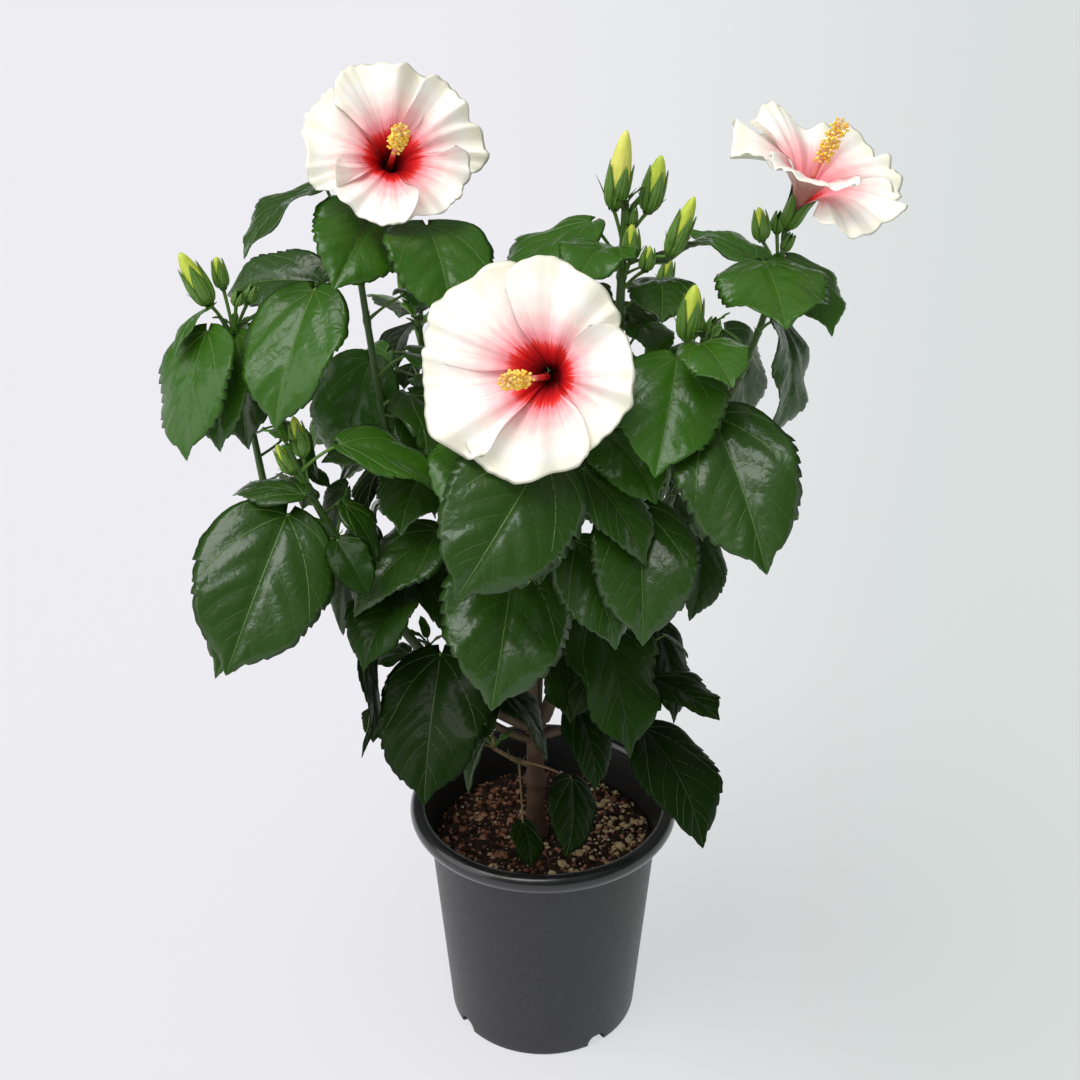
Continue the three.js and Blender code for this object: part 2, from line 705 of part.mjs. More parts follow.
function bloomSolids(stem, spec) {
  const { foot, axis, petals } = bloomFrame(spec);
  const pieces = petals.map((petal) => (
    solid(blade(petal, BLOOM.rows, BLOOM.columns, BLOOM.thickness))
  ));
  const aside = direction(spec.facing + 90, 0);
  const turned = (profile, sides) => profile.map(([radius, far]) => (
    ring(foot.clone().addScaledVector(axis, far), axis, aside, radius, sides)
  ));
  const { column, columnRadius, headLength, headRadius, calyxLength, calyxRadius } = BLOOM;
  const neck = column - headLength;
  pieces.push(solid(loft(turned([[columnRadius, -2], [columnRadius, neck],
    [headRadius, neck + headLength * 0.25], [headRadius, neck + headLength * 0.8], [0, column]],
  SIDES.column))));
  const stalk = bloomStalk(stem, spec);
  const rings = Array.from({ length: STEPS.bloomStalk + 1 }, (_, i) => {
    const t = i / STEPS.bloomStalk;
    return ring(stalk.getPoint(t), heading(stalk, t), aside, BLOOM.stalkRadius, SIDES.calyx);
  });
  rings.push(...turned([[calyxRadius * 0.7, 1.5 - BLOOM.sepalDrop], [calyxRadius, calyxLength * 0.35],
    [calyxRadius * 1.15, calyxLength - BLOOM.sepalDrop], [0, calyxLength * 0.5]], SIDES.calyx));
  pieces.push(solid(loft(rings)));
  return pieces;
}

// ---------------------------------------------------------------- pot and potting mix

function potProfile() {
  const { footRadius, neckRadius, neckHeight, wall, floor, rimRadius, rimWidth, rimHeight } = POT;
  const rim = { r: rimRadius - rimWidth / 2, z: POT.height - rimHeight / 2 };
  const points = [[0, 0], [footRadius - 3, 0], [footRadius - 0.8, 0.8], [footRadius, 2.8],
    [neckRadius, neckHeight]];
  for (let angle = -125; angle <= 170; angle += 42) {
    points.push([
      rim.r + (rimWidth / 2) * Math.cos(angle * RADIAN),
      rim.z + (rimHeight / 2) * Math.sin(angle * RADIAN),
    ]);
  }
  points.push([neckRadius - wall, neckHeight], [footRadius - wall, floor + 2.2],
    [footRadius - wall - 2, floor], [0, floor]);
  return points;
}

function potSolid() {
  const points = potProfile().map(([radius, height]) => new THREE.Vector2(radius, height));
  const shell = new THREE.LatheGeometry(points, POT.segments).rotateX(Math.PI / 2);
  let body = solid(shell);
  for (let k = 0; k < POT.notchCount; k += 1) {
    const turn = (POT.notchTurn + (360 * k) / POT.notchCount) * RADIAN;
    const notch = new THREE.CylinderGeometry(POT.notchRadius, POT.notchRadius, 14, 16);
    notch.rotateZ(Math.PI / 2).translate(POT.footRadius, 0, POT.notchRise).rotateZ(turn);
    body = body.subtract(solid(notch));
  }
  return mainBody(body);
}

// Inside radius of the pot's wall at a height.
function insideRadius(z) {
  const { footRadius, neckRadius, neckHeight, wall } = POT;
  return footRadius - wall + ((neckRadius - footRadius) * z) / neckHeight;
}

function mixSolid() {
  const low = POT.floor + GAP;
  const points = [[0, low], [insideRadius(0) - 3 - GAP, low], [insideRadius(0) - 0.6 - GAP, low + 3],
    [insideRadius(MIX.surface) - GAP - 0.4, MIX.surface]];
  for (let ring = MIX.rings - 1; ring > 0; ring -= 1) {
    points.push([(insideRadius(MIX.surface) * ring) / MIX.rings, MIX.surface]);
  }
  points.push([0, MIX.surface]);
  const vectors = points.map(([radius, height]) => new THREE.Vector2(radius, height));
  const geometry = new THREE.LatheGeometry(vectors, MIX.segments).rotateX(Math.PI / 2);
  const place = geometry.getAttribute("position");
  for (let i = 0; i < place.count; i += 1) {
    const [x, y, z] = [place.getX(i), place.getY(i), place.getZ(i)];
    const away = Math.hypot(x - TRUNK.foot[0], y - TRUNK.foot[1]);
    if (z > MIX.surface - 1 && away > MIX.bareRadius) {
      const bump = Math.sin(x * 0.21 + 1.3) * Math.cos(y * 0.19 - 0.6) - 0.4;
      place.setZ(i, z + MIX.bump * bump);
    }
  }
  return solid(geometry);
}

// ---------------------------------------------------------------- trunk and boughs

const shrub = new THREE.Group();

function addNode(name, manifold, material) {
  const mesh = new THREE.Mesh(geometryOf(manifold), material.clone());
  mesh.name = name;
  shrub.add(mesh);
}

const limbs = new Map(); // name -> { curve, radius, body, wide }

// A limb starts inside its parent and is cut back to stand clear of every limb before it.
// `wide` is the limb made fatter by the gap, and is what later ones are cut with.
function growLimb(name, curve, radius, sides, steps) {
  let body = solid(bar(curve, radius, sides, steps));
  for (const other of limbs.values()) body = body.subtract(other.wide);
  const clear = GAP / Math.cos(Math.PI / sides);
  const wide = solid(bar(curve, (t) => radius(t) + clear, sides, steps, GAP / curve.getLength()));
  limbs.set(name, { curve, radius, body: mainBody(body), wide });
}

// Where a branch leaves its parent limb.
function branchCurve(spec) {
  const parent = limbs.get(spec.parent);
  const start = parent.curve.getPoint(spec.at);
  if (spec.at < 1) {
    start.addScaledVector(direction(spec.turn, 0), parent.radius(spec.at) * BRANCH_FOOT);
  }
  return limbCurve(start, spec);
}

const trunkLine = { turn: 180, reach: TRUNK.reach, rise: TRUNK.rise, out: 0.5, up: 0.5 };
const trunkCurve = limbCurve(new THREE.Vector3(...TRUNK.foot), trunkLine);
growLimb("trunk", trunkCurve, trunkRadius, SIDES.trunk, STEPS.trunk);
for (const spec of BOUGHS) {
  growLimb(spec.name, branchCurve(spec), taper(spec.thick, spec.thin), SIDES.bough, STEPS.bough);
}

addNode("pot", potSolid(), POT_BLACK);
addNode("potting_mix", mixSolid(), MIX_BROWN);
for (const [name, { body }] of limbs) {
  addNode(name, body, name === "trunk" ? BARK_TAN : STEM_GREEN);
}

// ---------------------------------------------------------------- masses of foliage

const crowd = []; // what stands in the crown, as points with a ball about them

function occupy(owner, points) {
  crowd.push({ owner, points, ball: new THREE.Sphere().setFromPoints(points) });
}

// True where every point stands clear of the crowd, apart from what the owners in `mine` hold.
function isClear(points, mine) {
  const ball = new THREE.Sphere().setFromPoints(points);
  return crowd.every((other) => {
    if (mine.includes(other.owner)) return true;
    const near = ball.radius + other.ball.radius + SPACE.clear;
    if (ball.center.distanceTo(other.ball.center) > near) return true;
    return points.every((p) => other.points.every((q) => p.distanceTo(q) > SPACE.clear));
  });
}

const inCrown = (p) => Math.hypot(
  ...CROWN.reach.map((reach, k) => (p.getComponent(k) - CROWN.middle[k]) / reach),
) < 1;

// The places that a leaf takes: its blade, its stalk, and the foot of the stalk by the stem.
function leafPlaces(stem, spec, number) {
  const { start, root } = stalkEnds(stem, spec);
  const stalk = stalkCurve(start, root);
  return {
    blade: bladePoints(leafSurface(root, spec, number)),
    stalk: linePoints(stalk, 0.4, 0.9, 3),
    foot: linePoints(stalk, 0.1, 0.3, 2),
  };
}

function occupyLeaf(owner, { blade, stalk }) {
  occupy(owner, blade);
  occupy(owner, stalk);
}

// A stalk may pass what its own mass holds, and its foot the limb that carries the mass.
const leafIsClear = (mass, { blade, stalk, foot }) => (
  blade.every(inCrown) && isClear(blade, []) && isClear(stalk, [mass.name])
  && isClear(foot, [mass.name, mass.stem.parent])
);

// Leaves that grow by rule, each tried in a few directions and left out where none is clear.
function ruledLeaves(mass, stem) {
  const found = [];
  const spec = mass.fill;
  const first = mass.leaves.length;
  const random = chance(spec.seed);
  for (let i = 0; i < spec.count; i += 1) {
    const at = spec.from + ((spec.to - spec.from) * i) / Math.max(spec.count - 1, 1);
    let placed = false;
    for (let attempt = 0; attempt < SPACE.tries; attempt += 1) {
      const turn = spec.first + GOLDEN_ANGLE * i + SPACE.retry * attempt;
      const candidate = leaf(
        at, turn, 5 + 35 * random(), 26 + 20 * random(),
        spec.small + (spec.large - spec.small) * random(), 0.72 + 0.14 * random(),
        turn + 60 * (random() - 0.5), spec.hang * (1 - 0.5 * at) + 20 * (random() - 0.5),
        40 * (random() - 0.5),
      );
      if (placed) continue;
      const places = leafPlaces(stem, candidate, first + i);
      placed = leafIsClear(mass, places);
      if (placed) {
        found.push(candidate);
        occupyLeaf(mass.name, places);
      }
    }
  }
  return found;
}

// Limbs, stems, blooms, buds and the leaves with a set place take their space first.
for (const [name, { curve }] of limbs) occupy(name, linePoints(curve, 0, 1, 40));
const stems = new Map();
for (const mass of MASSES) {
  const stem = branchCurve(mass.stem);
  stems.set(mass.name, stem);
  occupy(mass.name, linePoints(stem, 0, 1, 14));
}
for (const mass of MASSES) {
  const stem = stems.get(mass.name);
  for (const spec of mass.blooms) {
    occupy(mass.name, bloomPoints(spec));
    occupy(mass.name, linePoints(bloomStalk(stem, spec), 0, 1, 8));
  }
  for (const spec of mass.buds) {
    const { foot, axis } = budPlace(stem, spec);
    const places = [0, 0.3, 0.6, 0.9].map((k) => foot.clone().addScaledVector(axis, k * spec.length));
    occupy(mass.name, places);
  }
  mass.leaves.forEach((spec, number) => occupyLeaf(mass.name, leafPlaces(stem, spec, number)));
}

for (const mass of MASSES) {
  const stem = stems.get(mass.name);
  let wood = solid(bar(stem, taper(mass.stem.thick, mass.stem.thin), SIDES.stem, STEPS.stem));
  for (const { wide } of limbs.values()) wood = wood.subtract(wide);
  const pieces = [mainBody(wood)];
  const leaves = [...mass.leaves, ...ruledLeaves(mass, stem)];
  leaves.forEach((spec, number) => pieces.push(leafSolid(stem, spec, number)));
  for (const spec of mass.buds) pieces.push(budSolid(stem, spec));
  for (const spec of mass.blooms) pieces.push(...bloomSolids(stem, spec));
  addNode(mass.name, mainBody(join(pieces)), LEAF_GREEN);
}

export default shrub;
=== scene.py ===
"""A potted hibiscus shrub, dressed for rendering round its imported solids.

Lengths are in millimetres until a mesh is made. +Z is up, and the origin is the middle of the
pot's flat underside. A direction is a turn in degrees about +Z from +X, and a rise.
"""

import json
import logging
import math
from dataclasses import dataclass, field
from enum import Enum
from typing import Callable, Sequence

import bpy
import numpy as np
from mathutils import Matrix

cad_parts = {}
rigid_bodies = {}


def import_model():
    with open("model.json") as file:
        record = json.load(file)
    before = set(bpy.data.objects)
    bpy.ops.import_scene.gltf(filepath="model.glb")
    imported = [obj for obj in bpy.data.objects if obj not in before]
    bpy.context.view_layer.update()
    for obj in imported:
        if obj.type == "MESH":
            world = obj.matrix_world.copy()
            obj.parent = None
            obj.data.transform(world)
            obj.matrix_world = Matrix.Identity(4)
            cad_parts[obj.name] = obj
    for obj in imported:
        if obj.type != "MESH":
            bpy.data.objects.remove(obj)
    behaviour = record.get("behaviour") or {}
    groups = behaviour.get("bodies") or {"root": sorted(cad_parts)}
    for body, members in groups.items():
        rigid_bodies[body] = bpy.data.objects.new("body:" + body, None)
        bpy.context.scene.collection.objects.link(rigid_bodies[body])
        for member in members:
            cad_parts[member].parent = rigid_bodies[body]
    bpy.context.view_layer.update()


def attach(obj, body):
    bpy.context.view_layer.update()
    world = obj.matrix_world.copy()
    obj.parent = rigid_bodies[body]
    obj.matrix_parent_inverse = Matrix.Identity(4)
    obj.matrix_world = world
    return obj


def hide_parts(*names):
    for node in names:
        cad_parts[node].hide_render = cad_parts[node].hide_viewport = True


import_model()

LOG = logging.getLogger("hibiscus")
MM = 0.001
RADIAN = math.pi / 180
TURN = 2 * math.pi
GOLDEN_ANGLE = 137.5

Array = np.ndarray
Surface = Callable[[Array, Array], Array]
Triple = tuple[float, float, float]
Row = tuple[float, ...]
Stop = tuple[float, Triple]
Socket = bpy.types.NodeSocket
Values = dict[str | int, object]


# ---- directions and chance ----


def direction(turn: float, rise: float) -> Array:
    """Unit vector along a turn and a rise, in degrees."""
    flat = math.cos(rise * RADIAN)
    return np.array([math.cos(turn * RADIAN) * flat, math.sin(turn * RADIAN) * flat,
                     math.sin(rise * RADIAN)])


def unit(vectors: Array) -> Array:
    """Vectors brought to length one, along the last axis."""
    length = np.linalg.norm(vectors, axis=-1, keepdims=True)
    return vectors / np.maximum(length, 1e-9)


def bell(off: Array) -> Array:
    """A bell curve: 1 at nought, and soon nought on both sides."""
    return np.exp(-off ** 2)


def share(value: float) -> float:
    """The part of a number after its point."""
    return value - math.floor(value)


class Chance:
    """A repeatable chance in 0..1, the same as the shrub's source draws."""

    def __init__(self, seed: int) -> None:
        """Starts the row of draws from a whole-number seed."""
        self.state = (seed * 2654435761) & 0xFFFFFFFF

    def draw(self) -> float:
        """The next number, from 0 to 1."""
        self.state = (self.state * 1664525 + 1013904223) & 0xFFFFFFFF
        return self.state / 4294967296


# ---- finishes ----


@dataclass(frozen=True)
class Nodes:
    """The nodes of one material or world, and short ways to add to them."""

    tree: bpy.types.NodeTree

    def join(self, node: bpy.types.Node, inputs: Values) -> None:
        """Gives a node's inputs their values, or joins them to other nodes' sockets.

        Args:
            node: The node.
            inputs: Values or sockets, by the input's name or number.
        """
        for name, value in inputs.items():
            if isinstance(value, Socket):
                self.tree.links.new(value, node.inputs[name])
            else:
                node.inputs[name].default_value = value

    def add(self, kind: str, output: str, inputs: Values, **settings: str) -> Socket:
        """Adds a node.

        Args:
            kind: Its kind, the part of the type's name after "ShaderNode".
            output: The output that is wanted.
            inputs: Values or sockets, by the input's name or number.
            settings: The node's own settings.

        Returns:
            The wanted output.
        """
        node = self.tree.nodes.new("ShaderNode" + kind)
        for name, value in settings.items():
            setattr(node, name, value)
        self.join(node, inputs)
        return node.outputs[output]

    def place(self) -> Socket:
        """The place on the piece, in metres."""
        return self.add("TexCoord", "Object", {})

    def stretched(self, place: Socket, scale: Triple) -> Socket:
        """A place scaled along X, Y and Z."""
        return self.add("Mapping", "Vector", {"Vector": place, "Scale": scale})

    def noise(self, place: Socket, scale: float, depth: float) -> Socket:
        """Noise from 0 to 1 at a scale per metre."""
        return self.add("TexNoise", "Fac", {"Vector": place, "Scale": scale, "Detail": depth})

    def math(self, operation: str, *values: Socket | float) -> Socket:
        """A sum on sockets and numbers."""
        return self.add("Math", "Value", dict(enumerate(values)), operation=operation)

    def ramp(self, amount: Socket, stops: Sequence[Stop], interpolation: str = "LINEAR") -> Socket:
        """Colours laid along an amount from 0 to 1, each at its own place.

        Args:
            amount: The socket with the amount.
            stops: Places and colours, in order.
            interpolation: How the ramp runs between them.

        Returns:
            The colour.
        """
        node = self.tree.nodes.new("ShaderNodeValToRGB")
        node.color_ramp.interpolation = interpolation
        points = node.color_ramp.elements
        while len(points) < len(stops):
            points.new(1.0)
        for point, (position, color) in zip(points, stops):
            point.position, point.color = position, (*color, 1.0)
        self.join(node, {"Fac": amount})
        return node.outputs["Color"]


class Grain(Enum):
    """How a finish's fine relief is laid."""

    SMOOTH = "smooth"
    NETTED = "netted"
    FIBROUS = "fibrous"
    CRUMBLY = "crumbly"
    MOULDED = "moulded"


@dataclass(frozen=True)
class Finish:
    """One surface: a base colour with roughness and relief from nodes.

    `relief` is the bump's height in millimetres, and `grain_size` its size. `coat` is a thin
    clear gloss, `drift` the spread of the roughness.
    """

    name: str
    color: Triple
    roughness: float = 0.5
    grain: Grain = Grain.SMOOTH
    grain_size: float = 4.0
    relief: float = 0.1
    coat: float = 0.0
    coat_roughness: float = 0.25
    specular: float = 0.5
    drift: float = 0.1

    def material(self) -> bpy.types.Material:
        """Makes the node material, or finds it if it was made before.

        Returns:
            The material with this finish's name.
        """
        found = bpy.data.materials.get(self.name)
        if found is not None:
            return found
        made = bpy.data.materials.new(self.name)
        made.use_nodes = True
        made.diffuse_color = (*self.color, 1.0)
        nodes, shader = Nodes(made.node_tree), made.node_tree.nodes["Principled BSDF"]
        nodes.join(shader, {"Base Color": (*self.color, 1.0), "Specular IOR Level": self.specular,
                            "Coat Weight": self.coat, "Coat Roughness": self.coat_roughness})
        self.add_grain(nodes, shader)
        self.add_color(nodes, shader)
        return made

    def add_color(self, nodes: Nodes, shader: bpy.types.Node) -> None:
        """Leaves the base colour plain; a patterned finish lays its pattern here."""

    def add_grain(self, nodes: Nodes, shader: bpy.types.Node) -> None:
        """Lays the roughness and the relief of the grain.

        Args:
            nodes: The material's nodes.
            shader: Its shader.
        """
        place = nodes.place()
        patches = nodes.noise(place, 1000 / (self.grain_size * 2.5), 3)
        nodes.join(shader, {"Roughness": nodes.add("MapRange", "Result", {
            "Value": patches, "To Min": max(self.roughness - self.drift, 0.05),
            "To Max": min(self.roughness + self.drift, 1.0)})})
        if self.relief <= 0:
            return
        normal = nodes.add("Bump", "Normal", {
            "Strength": 1.0, "Distance": self.relief * MM, "Height": self.height(nodes, place)})
        nodes.join(shader, {"Normal": normal})
        if self.coat > 0:
            nodes.join(shader, {"Coat Normal": normal})

    def height(self, nodes: Nodes, place: Socket) -> Socket:
        """The height that the relief follows at a place, from 0 to 1.

        Args:
            nodes: The material's nodes.
            place: The place on the piece.

        Returns:
            A socket from 0 to 1.
        """
        scale = 1000 / self.grain_size
        if self.grain is Grain.NETTED:
            drift = nodes.add("TexNoise", "Color", {"Vector": place, "Scale": scale * 0.8})
            moved = nodes.add("VectorMath", "Vector", {0: drift, 1: [0.9 / scale] * 3, 2: place},
                              operation="MULTIPLY_ADD")
            return nodes.add("TexVoronoi", "Distance", {"Vector": moved, "Scale": scale},
                             feature="DISTANCE_TO_EDGE")
        if self.grain is Grain.FIBROUS:
            return nodes.noise(nodes.stretched(place, (1.0, 1.0, 0.22)), scale, 5)
        depth = {Grain.SMOOTH: 2, Grain.MOULDED: 1, Grain.CRUMBLY: 6}[self.grain]
        return nodes.noise(place, scale, depth)


@dataclass(frozen=True)
class MottledFinish(Finish):
    """A finish whose colour drifts to a second one in soft patches, drawn out along Z."""

    second: Triple = (0.1, 0.1, 0.1)
    patch: float = 20.0
    along: float = 1.0
    contrast: float = 0.25

    def add_color(self, nodes: Nodes, shader: bpy.types.Node) -> None:
        """Mixes the two colours by patches of noise.

        Args:
            nodes: The material's nodes.
            shader: Its shader.
        """
        drawn = nodes.stretched(nodes.place(), (1.0, 1.0, 1 / self.along))
        patches = nodes.noise(drawn, 1000 / self.patch, 4)
        stops = ((0.5 - self.contrast, self.color), (0.5 + self.contrast, self.second))
        nodes.join(shader, {"Base Color": nodes.ramp(patches, stops)})


@dataclass(frozen=True)
class PetalFinish(Finish):
    """A petal's colour, from its throat out to its margin, with streaks along its veins.

    It reads the mesh's own `petal` attribute: the angle round the bloom, the share of the
    radius, and the petal's number.
    """

    stops: tuple[Stop, ...] = ()
    streak: float = 0.24
    streak_count: float = 11.0
    rib_count: float = 24.0

    @staticmethod
    def own_place(nodes: Nodes) -> Socket:
        """The place on the petal that the mesh keeps."""
        return nodes.add("Attribute", "Vector", {}, attribute_name="petal")

    def add_color(self, nodes: Nodes, shader: bpy.types.Node) -> None:
        """Lays the rings of colour, pulled out and in by the streaks.

        Args:
            nodes: The material's nodes.
            shader: Its shader.
        """
        place = self.own_place(nodes)
        out = nodes.add("SeparateXYZ", "Y", {"Vector": place})
        streaks = nodes.noise(nodes.stretched(place, (self.streak_count, 0.7, 3.7)), 1.0, 3)
        stops = [(min(at + self.streak / 2, 1.0), color) for at, color in self.stops]
        pulled = nodes.math("MULTIPLY_ADD", streaks, self.streak, out)
        nodes.join(shader, {"Base Color": nodes.ramp(pulled, stops, "EASE")})

    def height(self, nodes: Nodes, place: Socket) -> Socket:
        """Fine ribs that run from the throat to the margin."""
        drawn = nodes.stretched(self.own_place(nodes), (self.rib_count, 2.2, 3.7))
        return nodes.noise(drawn, 1.0, 2)


@dataclass(frozen=True)
class FloorFinish(Finish):
    """The floor: it drifts from a warm white on the left to a darker, cooler one on the right,
    which is painted shade.

    `glow` is the light it gives off itself, as a lit table does, which keeps shadows faint.
    """

    # painted shade: the darker white on the right
    right: Triple = (0.662, 0.707, 0.693)
    width: float = 0.32
    glow: float = 0.75

    def add_color(self, nodes: Nodes, shader: bpy.types.Node) -> None:
        """Mixes the two whites from left to right, more widely further off; the darker right one
        is painted shade.

        Args:
            nodes: The material's nodes.
            shader: Its shader.
        """
        place = nodes.place()
        across, away = (nodes.add("SeparateXYZ", axis, {"Vector": place}) for axis in "XY")
        off = nodes.math("ADD", nodes.math("ABSOLUTE", away), 1.0)
        part = nodes.add("MapRange", "Result", {
            "Value": nodes.math("DIVIDE", across, off),
            "From Min": -self.width / 4, "From Max": self.width})
        # painted shade: the floor darkens towards the right
        tone = nodes.ramp(part, ((0.0, self.color), (1.0, self.right)), "EASE")
        dimmed = nodes.add("VectorMath", "Vector", {0: tone, "Scale": 1 - self.glow},
                           operation="SCALE")
        nodes.join(shader, {"Emission Color": tone, "Emission Strength": self.glow,
                            "Base Color": dimmed})


# ---- the finishes in use ----


def chip_finish(tone: str, color: Triple, second: Triple, roughness: float = 0.6,
                size: float = 2.0, relief: float = 0.4, patch: float = 4.0,
                specular: float = 0.5) -> MottledFinish:
    """A crumbly finish of one of the chips' tones."""
    return MottledFinish("chip_" + tone, color, roughness, Grain.CRUMBLY, size, relief,
                         second=second, patch=patch, specular=specular)


def bark_finish(name: str, color: Triple, second: Triple, roughness: float, size: float,
                relief: float, patch: float, along: float, coat: float = 0.0) -> MottledFinish:
    """A fibrous finish of wood, skin or bud."""
    return MottledFinish(name, color, roughness, Grain.FIBROUS, size, relief, coat,
                         second=second, patch=patch, along=along)


def skin_finish(name: str, color: Triple, size: float, relief: float, coat: float = 0.15,
                roughness: float = 0.42) -> Finish:
    """A fibrous finish of one colour, for green stems and stalks."""
    return Finish(name, color, roughness, Grain.FIBROUS, size, relief, coat)


def pollen_finish(name: str, color: Triple) -> Finish:
    """The fine crumbly finish of anthers and stigmas."""
    return Finish(name, color, 0.7, Grain.CRUMBLY, 0.6, 0.2)


POT_BODY = MottledFinish("pot_body", (0.0125, 0.0129, 0.0133), 0.42, Grain.CRUMBLY, 2.2, 0.12,
                         drift=0.08, second=(0.021, 0.0215, 0.022), patch=2.4, contrast=0.12)
POT_RIM = MottledFinish("pot_rim", (0.005, 0.005, 0.0052), 0.28, Grain.MOULDED, 9.0, 0.06,
                        coat=0.6, coat_roughness=0.16, drift=0.07,
                        second=(0.01, 0.01, 0.0103), patch=12.0)
MIX_BED = MottledFinish("mix_bed", (0.012, 0.007, 0.004), 0.9, Grain.CRUMBLY, 3.0, 1.6,
                        second=(0.04, 0.022, 0.012), patch=5.0, contrast=0.15, specular=0.3)
CHIP_DARK = chip_finish("dark", (0.013, 0.006, 0.003), (0.045, 0.02, 0.009), specular=0.3)
CHIP_RED = chip_finish("red", (0.13, 0.045, 0.018), (0.26, 0.1, 0.045))
CHIP_PINK = chip_finish("pink", (0.42, 0.21, 0.13), (0.24, 0.09, 0.05), 0.65)
CHIP_TAN = chip_finish("tan", (0.6, 0.46, 0.26), (0.3, 0.2, 0.09), 0.7)
CHIP_PALE = chip_finish("pale", (0.6, 0.55, 0.42), (0.4, 0.33, 0.22), 0.7, 1.6, 0.3, 3.0)
CHIP_TONES = (CHIP_DARK, CHIP_RED, CHIP_PINK, CHIP_TAN, CHIP_PALE)
TRUNK_BARK = bark_finish("trunk_bark", (0.12, 0.066, 0.034), (0.045, 0.024, 0.012),
                         0.75, 2.2, 0.6, 9.0, 2.5)
BOUGH_BARK = bark_finish("bough_bark", (0.1, 0.07, 0.034), (0.05, 0.036, 0.017),
                         0.7, 2.0, 0.35, 8.0, 3.0)
GREEN_BARK = bark_finish("green_bark", (0.05, 0.1, 0.02), (0.08, 0.09, 0.03),
                         0.5, 2.0, 0.2, 10.0, 3.0, 0.1)
DRY_SKIN = bark_finish("dry_skin", (0.26, 0.17, 0.08), (0.14, 0.09, 0.045),
                       0.7, 1.6, 0.2, 6.0, 2.0)
SEPAL_SKIN = bark_finish("sepal_skin", (0.055, 0.15, 0.016), (0.1, 0.22, 0.025),
                         0.42, 1.2, 0.2, 4.0, 3.0, 0.15)
BUD_PETAL = bark_finish("bud_petal", (0.6, 0.66, 0.06), (0.36, 0.5, 0.04),
                        0.45, 1.4, 0.2, 3.0, 5.0)
BUD_PALE = bark_finish("bud_pale", (0.8, 0.76, 0.16), (0.55, 0.6, 0.08),
                       0.45, 1.4, 0.2, 3.0, 5.0)
STEM_SKIN = skin_finish("stem_skin", (0.05, 0.12, 0.015), 1.6, 0.12)
STALK_SKIN = skin_finish("stalk_skin", (0.085, 0.19, 0.02), 1.4, 0.1)
SEPAL_RIB = skin_finish("sepal_rib", (0.2, 0.36, 0.05), 1.2, 0.1, 0.0, 0.45)
COLUMN_BASE = Finish("column_base", (0.5, 0.006, 0.01), 0.45, relief=0.05)
COLUMN_MID = Finish("column_mid", (0.68, 0.04, 0.035), 0.45, relief=0.05)
COLUMN_PINK = Finish("column_pink", (0.85, 0.3, 0.24), 0.45, relief=0.05)
COLUMN_TIP = Finish("column_tip", (0.93, 0.62, 0.22), 0.45, relief=0.05)
ANTHER = pollen_finish("anther", (0.95, 0.54, 0.035))
ANTHER_PALE = pollen_finish("anther_pale", (0.97, 0.74, 0.14))
STIGMA = pollen_finish("stigma", (0.94, 0.6, 0.2))

# The maroon at the foot of the throat is partly the bloom's own dark eye and partly painted shade
# of the deep throat
MAROON_AND_THROAT_SHADE = (0.13, 0.001, 0.003)
CRIMSON = (0.42, 0.003, 0.006)
FLAME = (0.64, 0.008, 0.008)
SCARLET = (0.8, 0.045, 0.04)
ROSE = (0.93, 0.3, 0.34)
BLUSH = (0.95, 0.58, 0.58)
SHELL = (0.96, 0.82, 0.76)
CREAM = (0.98, 0.955, 0.88)
BUTTER = (0.975, 0.95, 0.79)
PETAL_FACE = PetalFinish(
    "petal_face", CREAM, 0.55, Grain.SMOOTH, 1.2, 0.22, specular=0.25,
    stops=((0.09, MAROON_AND_THROAT_SHADE), (0.17, CRIMSON), (0.235, FLAME), (0.275, SCARLET), (0.32, ROSE),
           (0.44, BLUSH), (0.58, SHELL), (0.74, CREAM), (0.95, BUTTER)),
)
PETAL_FACE_PALE = PetalFinish(
    "petal_face_pale", CREAM, 0.55, Grain.SMOOTH, 1.2, 0.2, specular=0.25,
    stops=((0.07, CRIMSON), (0.14, SCARLET), (0.2, ROSE), (0.34, (0.94, 0.42, 0.43)),
           (0.46, BLUSH), (0.6, SHELL), (0.76, CREAM), (0.95, BUTTER)),
)
PETAL_BACK = PetalFinish(
    "petal_back", CREAM, 0.6, Grain.SMOOTH, 1.2, 0.35, specular=0.25, streak=0.2,
    stops=((0.05, (0.5, 0.2, 0.16)), (0.16, (0.62, 0.26, 0.22)), (0.3, (0.85, 0.5, 0.45)),
           (0.5, SHELL), (0.76, CREAM), (0.94, BUTTER)),
)


class LeafTone(Enum):
    """The greens of the leaves, from a young, pale one to a dark one; the dark ones are partly
    painted shade for leaves low in the crown.
    """

    YOUNG = 0
    BRIGHT = 1
    MIDDLE = 2
    # DEEP and SHADED paint the shade low in the crown, on top of the random spread of tone
    DEEP = 3
    SHADED = 4


def leaf_finish(name: str, color: Triple, coat: float, specular: float = 0.2) -> Finish:
    """A glossy blade finish, netted with fine veins."""
    return Finish(name, color, 0.5, Grain.NETTED, 6.5, 0.38, coat=coat, coat_roughness=0.24,
                  drift=0.08, specular=specular)


